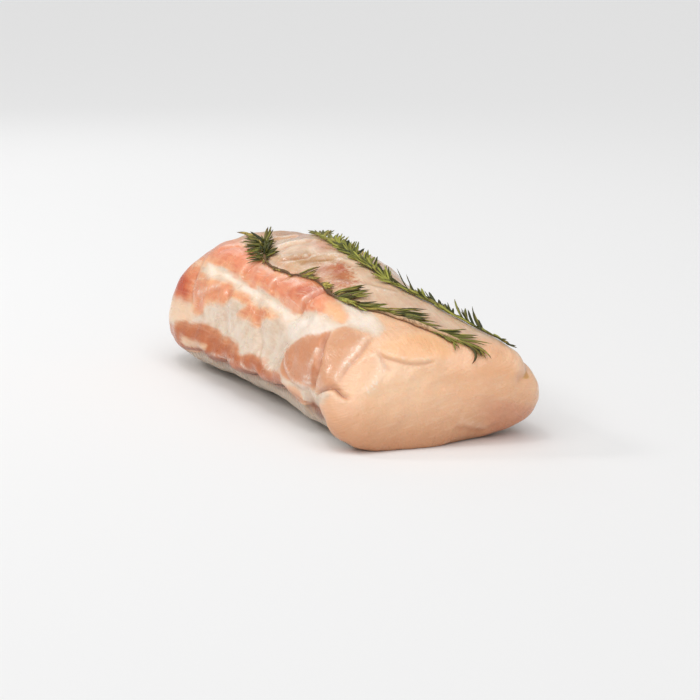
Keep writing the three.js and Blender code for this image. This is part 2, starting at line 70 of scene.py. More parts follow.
# Places on the skin are (along, around): along is 0 at the far end's middle and 1 at the near end's,
# around is in degrees, 0 on the hidden side, 90 on the crown, 180 on the shown flank, 270 underneath.
reliefs = dict(
    unevenness=0.45,
    waves=[((1 / 9, 1 / 14, 0), 0), ((0, 1 / 8, -1 / 11), 2), ((1 / 17, 0, 1 / 7), 4)],
    lumps=dict(count=22, height=0.05, wavelength=(7.0, 26.0), seed=11),
    stepsPerPlace=5,  # straight steps to each place of a route
    outlineSteps=4,  # the same for a tissue's outline
    lipReach=9.0,  # how far a fold's raised lip reaches, where the fold gives no reach of its own
    lipPeak=1.7,  # where a lip is palest, in widths of its fold
    foldFade=0.16,  # share of a fold's length over which each of its ends runs out
    bulges=[
        # rib muscle in four puffy lengths, dome over the far end, lower muscle with its hanging lobes
        dict(route=[(0.14, 127), (0.3, 131), (0.45, 131), (0.58, 129), (0.7, 123)], width=8, height=1.2),
        dict(route=[(0.2, 129), (0.26, 130)], width=9, height=1.3),
        dict(route=[(0.34, 133), (0.39, 133)], width=9, height=1.3),
        dict(route=[(0.47, 130), (0.54, 129)], width=9, height=1.5),
        dict(route=[(0.62, 126), (0.68, 124.5)], width=8, height=1.3),
        dict(route=[(0.1, 128), (0.11, 150)], width=9, height=1.2),
        dict(route=[(0.112, 150), (0.117, 171)], width=12, height=2.2),
        dict(route=[(0.18, 151), (0.2, 152), (0.3, 150)], width=9, height=1.2),
        dict(route=[(0.15, 176), (0.38, 176), (0.58, 174)], width=8, height=1.5),
        dict(route=[(0.16, 181), (0.18, 182)], width=8, height=2),
        dict(route=[(0.25, 184), (0.3, 186)], width=9, height=2.8),
        dict(route=[(0.37, 184), (0.42, 184)], width=9, height=2.8),
        dict(route=[(0.51, 180), (0.54, 179)], width=8, height=2.4),
        # two pillows behind the near end, the lobe at its corner, the tongue over the near cut
        dict(route=[(0.65, 164), (0.72, 149)], width=14, height=3.2),
        dict(route=[(0.825, 152), (0.815, 134)], width=14, height=2.6),
        dict(route=[(0.85, 182), (0.865, 200), (0.86, 230)], width=12, height=1.4),
        dict(route=[(0.88, 100), (0.94, 104)], width=14, height=2.0),
        # hidden shoulder with a dip behind it, crown, hidden flank, near lower corner falling away
        dict(route=[(0.74, 44), (0.83, 37)], width=16, height=2.9),
        dict(route=[(0.487, 45), (0.584, 52)], width=19.8, height=-4.2),
        dict(route=[(0.67, 49), (0.72, 46)], width=12.9, height=-2.8),
        dict(route=[(0.4, 84), (0.6, 76)], width=20, height=1.2),
        dict(route=[(0.2, 20), (0.45, 25), (0.65, 20)], width=16, height=2),
        dict(route=[(0.25, -8), (0.5, -6), (0.75, -8)], width=10, height=2),
        dict(route=[(0.89, -60), (0.9, -40)], width=14, height=-2),
    ],
    # A fold is a cut with a lip raised on its left side as one goes along it, or on its right if negative.
    # The crease shade value paints shade that darkens the cut; pale lightens the lip, or a cut without one,
    # partly as pale membrane and partly as painted sheen; a negative depth is a ridge.
    folds=[
        # seam of fat, edge of the silverskin
        dict(depth=1.6, width=4,
             route=[(0.16, 138), (0.25, 140.5), (0.4, 142.5), (0.55, 141), (0.66, 136)]),
        dict(depth=0.5, width=3, lip=0.9, creaseShade=0.15, pale=0.2,
             route=[(0.2, 121), (0.35, 124), (0.5, 120), (0.62, 119), (0.73, 119)]),
        # creases round the two pillows and the flap under them
        dict(depth=1.7, width=1.3, lip=-0.7, creaseShade=0.8,
             route=[(0.735, 132), (0.762, 140.5), (0.782, 147.5), (0.786, 155), (0.773, 163),
                    (0.757, 172)]),
        dict(width=2.6, creaseShade=0.5, route=[(0.776, 153), (0.77, 160), (0.757, 169)]),
        dict(depth=-0.3, width=1.8, pale=0.6, route=[(0.762, 144), (0.764, 150), (0.754, 158)]),
        dict(depth=-0.15, width=0.8, pale=0.5, route=[(0.715, 165.5), (0.768, 162)]),
        dict(depth=-0.15, width=0.8, pale=0.5, route=[(0.71, 168.8), (0.765, 165.5)]),
        dict(depth=0.5, width=1.0, lip=0.5, creaseShade=0.3, pale=0.4,
             route=[(0.58, 160), (0.605, 164.5), (0.635, 169.5), (0.66, 172.5), (0.7, 173.5),
                    (0.745, 170)]),
        dict(depth=0.6, width=0.9, lip=-0.15, creaseShade=0.4,
             route=[(0.838, 113), (0.867, 121.5), (0.883, 130), (0.887, 140), (0.887, 156)]),
        dict(depth=-0.15, width=1.7, pale=0.6,
             route=[(0.835, 117), (0.852, 122), (0.869, 130), (0.877, 138), (0.88, 146), (0.876, 156)]),
        dict(depth=2.1, width=1.3, lip=-1.0, creaseShade=0.9, pale=0.2,
             route=[(0.77, 172), (0.795, 168.8), (0.825, 165.5), (0.855, 162.3), (0.876, 160), (0.886, 161),
                    (0.897, 166), (0.91, 172)]),
        dict(width=2.4, creaseShade=0.45,
             route=[(0.79, 167.5), (0.83, 164.5), (0.86, 160.5), (0.88, 158.5), (0.895, 162)]),
        # edge between the flank and the near cut, with the crease that runs up beside it to the tongue
        dict(depth=-0.35, width=2.0, pale=0.5,
             route=[(0.882, 119), (0.909, 125.5), (0.923, 134.5), (0.929, 148), (0.927, 159),
                    (0.918, 172)]),
        dict(depth=0.5, width=1.6, creaseShade=0.3,
             route=[(0.887, 118.5), (0.904, 122), (0.923, 129), (0.939, 137)]),
        # furrows that part the rib muscle's lengths and run on across the fat
        dict(depth=1.0, width=1.5, lip=-0.6, creaseShade=0.35, pale=0.35,
             route=[(0.292, 121), (0.29, 129), (0.285, 139)]),
        dict(depth=1.0, width=1.5, lip=-0.6, creaseShade=0.35, pale=0.35,
             route=[(0.442, 121), (0.431, 129), (0.419, 139)]),
        dict(depth=1.4, width=1.4, lip=-0.7, creaseShade=0.5, pale=0.3,
             route=[(0.588, 117), (0.588, 125), (0.58, 132), (0.568, 141)]),
        dict(depth=0.8, width=3.2, lip=0.4, creaseShade=0.1, route=[(0.265, 138), (0.301, 160), (0.315, 168)]),
        dict(depth=0.8, width=3.2, lip=0.4, creaseShade=0.1, route=[(0.37, 142), (0.472, 164), (0.478, 170)]),
        # grooves in the far dome
        dict(depth=0.9, width=1.8, lip=0.6, creaseShade=0.25, pale=0.1,
             route=[(0.138, 133), (0.151, 144.5), (0.158, 150.5), (0.164, 155.5), (0.172, 161)]),
        dict(depth=0.6, width=1.6, lip=0.4, creaseShade=0.2, pale=0.4,
             route=[(0.18, 157), (0.215, 152), (0.25, 148)]),
        dict(depth=0.6, width=1.5, lip=0.4, creaseShade=0.15, pale=0.4,
             route=[(0.16, 128), (0.185, 123), (0.2, 119)]),
        # painted highlights along the lower muscle's lobe edges, crevice under them and recess behind the
        # near lobe, both with painted shade
        dict(depth=-0.2, width=0.8, pale=0.4,
             route=[(0.27, 180.5), (0.305, 179), (0.338, 179), (0.37, 178), (0.4, 176.5)]),
        dict(depth=-0.25, width=0.9, pale=0.7,
             route=[(0.42, 176), (0.435, 177.5), (0.455, 178.8), (0.49, 178)]),
        dict(depth=-0.3, width=1.2, pale=0.6,
             route=[(0.475, 166.5), (0.5, 169.5), (0.53, 172), (0.57, 172.5)]),
        dict(depth=4.2, width=2.8, lip=3.2, creaseShade=1.0,
             route=[(0.13, 196), (0.179, 192.7), (0.219, 187), (0.245, 187), (0.265, 192.5), (0.285, 194),
                    (0.315, 190), (0.342, 184.5), (0.358, 189), (0.385, 191.5), (0.41, 190), (0.44, 187),
                    (0.475, 182), (0.495, 182), (0.512, 186), (0.54, 185), (0.575, 181), (0.602, 180),
                    (0.633, 185.5), (0.67, 186), (0.704, 184)]),
        dict(depth=3.2, width=6, creaseShade=0.7, route=[(0.7, 187), (0.76, 192), (0.83, 203)]),
        # edge of the tongue, notch in the hidden limb, small creases in the near cut
        dict(depth=0.4, width=1.0, lip=0.8, reach=6.0, creaseShade=0.3, pale=0.25,
             route=[(0.892, 121), (0.91, 120.5), (0.928, 117.5), (0.939, 112), (0.94, 100), (0.931, 88)]),
        dict(depth=1.7, width=3, lip=-0.8, creaseShade=0.25, pale=0.3,
             route=[(0.78, 38), (0.865, 33), (0.915, 28)]),
        dict(depth=0.6, width=2, lip=0.4, creaseShade=0.3, pale=0.2,
             route=[(0.925, -76), (0.915, -67), (0.893, -57)]),
        # wrinkles of the silverskin
        dict(depth=0.8, width=1.1, lip=0.5, creaseShade=0.65, pale=0.4,
             route=[(0.36, 121.5), (0.374, 118.8), (0.384, 116), (0.393, 113.3), (0.405, 110.5),
                    (0.408, 106)]),
        dict(depth=-0.3, width=1.5, pale=0.35,
             route=[(0.388, 123), (0.398, 119), (0.406, 115), (0.415, 111.5)]),
        dict(depth=1.0, width=2.0, lip=0.7, creaseShade=0.2, pale=0.85,
             route=[(0.298, 117), (0.303, 108.5), (0.31, 104), (0.317, 100), (0.308, 91)]),
        dict(depth=0.7, width=1.4, lip=0.5, creaseShade=0.25, pale=0.5,
             route=[(0.43, 112), (0.452, 101), (0.485, 99.5), (0.507, 97), (0.533, 94.5)]),
        dict(depth=0.8, width=1.8, lip=0.6, creaseShade=0.25, pale=0.5,
             route=[(0.208, 106), (0.218, 100), (0.232, 92)]),
        dict(depth=0.7, width=2.4, lip=0.5, creaseShade=0.2, pale=0.4,
             route=[(0.42, 117), (0.437, 105), (0.47, 94)]),
        dict(depth=0.7, width=2.4, lip=-0.5, creaseShade=0.1, pale=0.4,
             route=[(0.56, 110), (0.61, 98), (0.66, 82)]),
        dict(depth=0.6, width=2.4, lip=0.5, creaseShade=0.1, pale=0.3, route=[(0.28, 66), (0.4, 58), (0.55, 52)]),
        # hidden flank's seam, the fat cap's edge under it, two creases in the far cut
        dict(depth=2.2, width=4, lip=-1.4, creaseShade=0.3, pale=0.2,
             route=[(0.13, 17), (0.4, 5), (0.65, 9), (0.83, 2)]),
        dict(depth=2.6, width=4.5, lip=-2.4, creaseShade=0.7,
             route=[(0.11, -20), (0.35, -16), (0.6, -21), (0.85, -15)]),
        dict(depth=1.4, width=3, lip=1, creaseShade=0.4, pale=0.3,
             route=[(0.13, 112), (0.07, 135), (0.035, 190)]),
        dict(depth=1.1, width=3, lip=0.6, creaseShade=0.4, pale=0.3, route=[(0.12, 35), (0.06, 30), (0.03, -60)]),
    ],
)


# Smooth rise from 0 to 1: three squares less two cubes.
def smoothStep(t):
    t = np.clip(t, 0, 1)
    return t * t * (3 - 2 * t)


# Parabola through the far, middle and near value.
def bend(values, share):
    far, middle, near = values
    rest = 1 - share
    return far * rest * (1 - 2 * share) + middle * 4 * share * rest + near * share * (2 * share - 1)


# Point of the superellipse |x|^p + |y|^p = 1 that lies at an angle.
def rounded(angle, power):
    c, s = np.cos(angle), np.sin(angle)
    radius = (np.abs(c) ** power + np.abs(s) ** power) ** (-1 / power)
    return radius * c, radius * s


# Smooth form under the relief: superellipse sections strung along X, shrinking to a blunt cap at each end
# by another superellipse, then sheared so that both cut ends stand at a slant.
def bareSkin(along, around):
    far, near, share = form["farEnd"], form["nearEnd"], form["endShare"]
    half = form["length"] / 2
    farX, nearX = far["depth"] - half, half - near["depth"]
    farOut, farRim = rounded(np.clip(along / share, 0, 1) * np.pi / 2, far["power"])
    nearOut, nearRim = rounded(np.clip((1 - along) / share, 0, 1) * np.pi / 2, near["power"])
    x = farX + (nearX - farX) * (along - share) / (1 - 2 * share)
    x = np.where(along < share, farX - far["depth"] * farOut, x)
    x = np.where(along > 1 - share, nearX + near["depth"] * nearOut, x)
    shrink = np.where(along < share, farRim, np.where(along > 1 - share, nearRim, 1.0))
    place = x / form["length"] + 0.5
    angle = np.radians(around)
    isCrown, isHidden = np.sin(angle) >= 0, np.cos(angle) >= 0
    crown, base = form["crownPower"], form["basePower"]
    power = np.where(isHidden, np.where(isCrown, crown["hidden"], base["hidden"]),
                     np.where(isCrown, crown["shown"], base["shown"]))
    side, rise = rounded(angle, power)
    width = np.where(side >= 0, bend(form["hiddenHalfWidth"], place), bend(form["shownHalfWidth"], place))
    y = shrink * side * width
    widest = form["widestHeight"]
    reach = np.where(rise >= 0, bend(form["crownHeight"], place) - widest, widest + form["baseSink"])
    core = far["core"] + (near["core"] - far["core"]) * smoothStep(place)
    z = core + shrink * (widest + reach * rise - core)
    slantReach = form["slantReach"]
    nearPull = np.clip((place - 1 + slantReach) / slantReach, 0, None) ** 2
    farPull = np.clip((slantReach - place) / slantReach, 0, None) ** 2
    height = np.clip(z, 0, None)
    x = x + nearPull * ((near["slant"] + near["twist"] * height) * y - near["lean"] * height ** 2)
    return np.stack([x + farPull * far["slant"] * y, y, z], -1)


# Outward direction: the step around crossed with the step along.
def skinNormals(along, around):
    alongStep, aroundStep = 0.002, 0.5
    a = np.clip(along, 3 * alongStep, 1 - 3 * alongStep)
    down = bareSkin(a + alongStep, around) - bareSkin(a - alongStep, around)
    across = bareSkin(a, around + aroundStep) - bareSkin(a, around - aroundStep)
    normals = np.cross(across, down)
    return normals / np.linalg.norm(normals, axis=-1, keepdims=True)


# Uniform Catmull-Rom curve through points, sampled at even steps. A closed one comes back to its start.
def smoothLine(points, steps, closed=False):
    points = np.asarray(points, float)
    if closed:
        padded = np.concatenate([points[-1:], points, points[:2]])
    else:
        padded = np.concatenate([points[:1], points, points[-1:]])
    spans = len(padded) - 3
    t = np.linspace(0, spans, steps + 1)
    i = np.minimum(t.astype(int), spans - 1)
    t = (t - i)[:, None]
    p0, p1, p2, p3 = padded[i], padded[i + 1], padded[i + 2], padded[i + 3]
    v1, v2 = (p2 - p0) / 2, (p3 - p1) / 2
    return (2 * p1 - 2 * p2 + v1 + v2) * t ** 3 + (3 * p2 - 3 * p1 - 2 * v1 - v2) * t ** 2 + v1 * t + p1


# Places on the skin laid out flat: each part times its span, in millimetres.
def flatPlaces(route):
    return np.asarray(route, float) * (form["skinSpan"], form["degreeSpan"])


# Flat places, in millimetres, back as along and around: each part divided by its span.
def skinPlaces(flat):
    return flat[..., 0] / form["skinSpan"], flat[..., 1] / form["degreeSpan"]


# A route as points of the bare skin: a smooth curve over the flat skin, laid back on it.
def lineOnSkin(route):
    return bareSkin(*skinPlaces(smoothLine(flatPlaces(route), reliefs["stepsPerPlace"] * (len(route) - 1))))


# Nearest point of a line for many points: distance, share of the line, and +1 on its left, -1 on its right.
def nearestOnLine(points, normals, line):
    best = np.full(points.shape[:-1], np.inf)
    share, side = np.zeros_like(best), np.zeros_like(best)
    for i in range(len(line) - 1):
        step = line[i + 1] - line[i]
        offset = points - line[i]
        part = np.clip(offset @ step / (step @ step), 0, 1)
        offset = offset - part[..., None] * step
        distance = np.linalg.norm(offset, axis=-1)
        nearer = distance < best
        best = np.where(nearer, distance, best)
        share = np.where(nearer, (i + part) / (len(line) - 1), share)
        side = np.where(nearer, np.sign(np.sum(np.cross(step, offset) * normals, axis=-1)), side)
    return best, share, side


# Sum of sines along seeded directions, as small lumps.
def lumpHeight(points):
    lumps = reliefs["lumps"]
    rng = np.random.default_rng(lumps["seed"])
    directions = rng.normal(size=(lumps["count"], 3))
    directions /= np.linalg.norm(directions, axis=1, keepdims=True)
    lengths = rng.uniform(*lumps["wavelength"], lumps["count"])
    phases = rng.uniform(0, 2 * np.pi, lumps["count"])
    angles = points @ (directions * (2 * np.pi / lengths)[:, None]).T + phases
    return lumps["height"] * np.sin(angles).sum(-1)


# Height over the bare skin: slow waves and lumps, bell-shaped bulges along routes, and folds that are a
# bell cut with a lip raised on one side. Also gives how far each point takes painted crease shade and how
# far it is pale, 0 to 1.
def relief(points, normals):
    height = lumpHeight(points)
    creaseShade, pale = np.zeros(points.shape[:-1]), np.zeros(points.shape[:-1])
    for across, phase in reliefs["waves"]:
        height = height + reliefs["unevenness"] * np.sin(points @ np.array(across) + phase)
    for bulge in reliefs["bulges"]:
        distance, _, _ = nearestOnLine(points, normals, lineOnSkin(bulge["route"]))
        height = height + bulge["height"] * np.exp(-(distance / bulge["width"]) ** 2)
    for fold in reliefs["folds"]:
        distance, share, side = nearestOnLine(points, normals, lineOnSkin(fold["route"]))
        fade = smoothStep(np.minimum(share, 1 - share) / reliefs["foldFade"])
        away = distance / fold["width"]
        bell = np.exp(-away ** 2)
        lip = fold.get("lip", 0) * side
        raised = lip * np.tanh(away) * np.exp(-distance / fold.get("reach", reliefs["lipReach"]))
        height = height + fade * (raised - fold.get("depth", 0) * bell)
        creaseShade = np.maximum(creaseShade, fold.get("creaseShade", 0) * fade * bell ** 2)
        lipBell = np.exp(-(away - reliefs["lipPeak"]) ** 2) * (lip > 0) if "lip" in fold else bell
        pale = np.maximum(pale, fold.get("pale", 0) * fade * lipBell)
    return height, creaseShade, pale


# Finished skin: bare skin pushed out by the relief and pressed flat where it rests.
def skin(along, around):
    points, normals = bareSkin(along, around), skinNormals(along, around)
    height, creaseShade, pale = relief(points, normals)
    points = points + normals * height[..., None]
    points[..., 2] = np.maximum(points[..., 2], 0)
    return points, normals, creaseShade, pale


# Closed skins through rings of points: quads between neighbouring rings and a fan to a tip at each end.
# Each loft is first tips, rings and last tips as (pieces, 3), (pieces, rings, points, 3) and (pieces, 3),
# in millimetres, and takes a material slot of its own.
def loftMesh(name, lofts):
    points, faces, slots, start = [], [], [], 0
    for slot, (firstTips, rings, lastTips) in enumerate(lofts):
        pieceCount, ringCount, pointCount, _ = rings.shape
        size = ringCount * pointCount + 2
        inner = rings.reshape(pieceCount, -1, 3)
        whole = np.concatenate([firstTips[:, None], inner, lastTips[:, None]], axis=1)
        points.append(whole.reshape(-1, 3))
        here = np.arange(pointCount)
        after = (here + 1) % pointCount
        ring = 1 + pointCount * np.arange(ringCount - 1)[:, None]
        nextRing = ring + pointCount
        quads = np.stack([ring + here, ring + after, nextRing + after, nextRing + here], -1)
        last = 1 + pointCount * (ringCount - 1)
        fans = np.concatenate([np.stack([0 * here, 1 + after, 1 + here], -1),
                               np.stack([0 * here + size - 1, last + here, last + after], -1)])
        firsts = start + size * np.arange(pieceCount)[:, None, None]
        faces += (quads.reshape(1, -1, 4) + firsts).reshape(-1, 4).tolist()
        faces += (fans[None] + firsts).reshape(-1, 3).tolist()
        slots += [slot] * (len(faces) - len(slots))
        start += pieceCount * size
    mesh = bpy.data.meshes.new(name)
    mesh.from_pydata((np.concatenate(points) * mm).tolist(), [], faces)
    mesh.polygons.foreach_set("use_smooth", np.ones(len(faces), bool))
    mesh.polygons.foreach_set("material_index", np.array(slots, np.int32))
    return mesh


# One value or one vector for each point of a mesh, in the order of its points.
def addAttribute(mesh, name, values):
    kind, field = ("FLOAT_VECTOR", "vector") if values.ndim > 1 else ("FLOAT", "value")
    attribute = mesh.attributes.new(name, kind, "POINT")
    attribute.data.foreach_set(field, values.astype(np.float32).ravel())


# A mesh as a piece that rides on the one body and takes its node's place.
def addPiece(name, mesh, node):
    piece = bpy.data.objects.new(name, mesh)
    bpy.context.scene.collection.objects.link(piece)
    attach(piece, "root")
    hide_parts(node)
    return piece


# Colour from screen values, 0 to 255, as the shader's linear one by the sRGB curve.
def tint(red, green, blue):
    screen = np.array([red, green, blue]) / 255
    linear = np.where(screen <= 0.04045, screen / 12.92, ((screen + 0.055) / 1.055) ** 2.4)
    return (*linear.tolist(), 1.0)


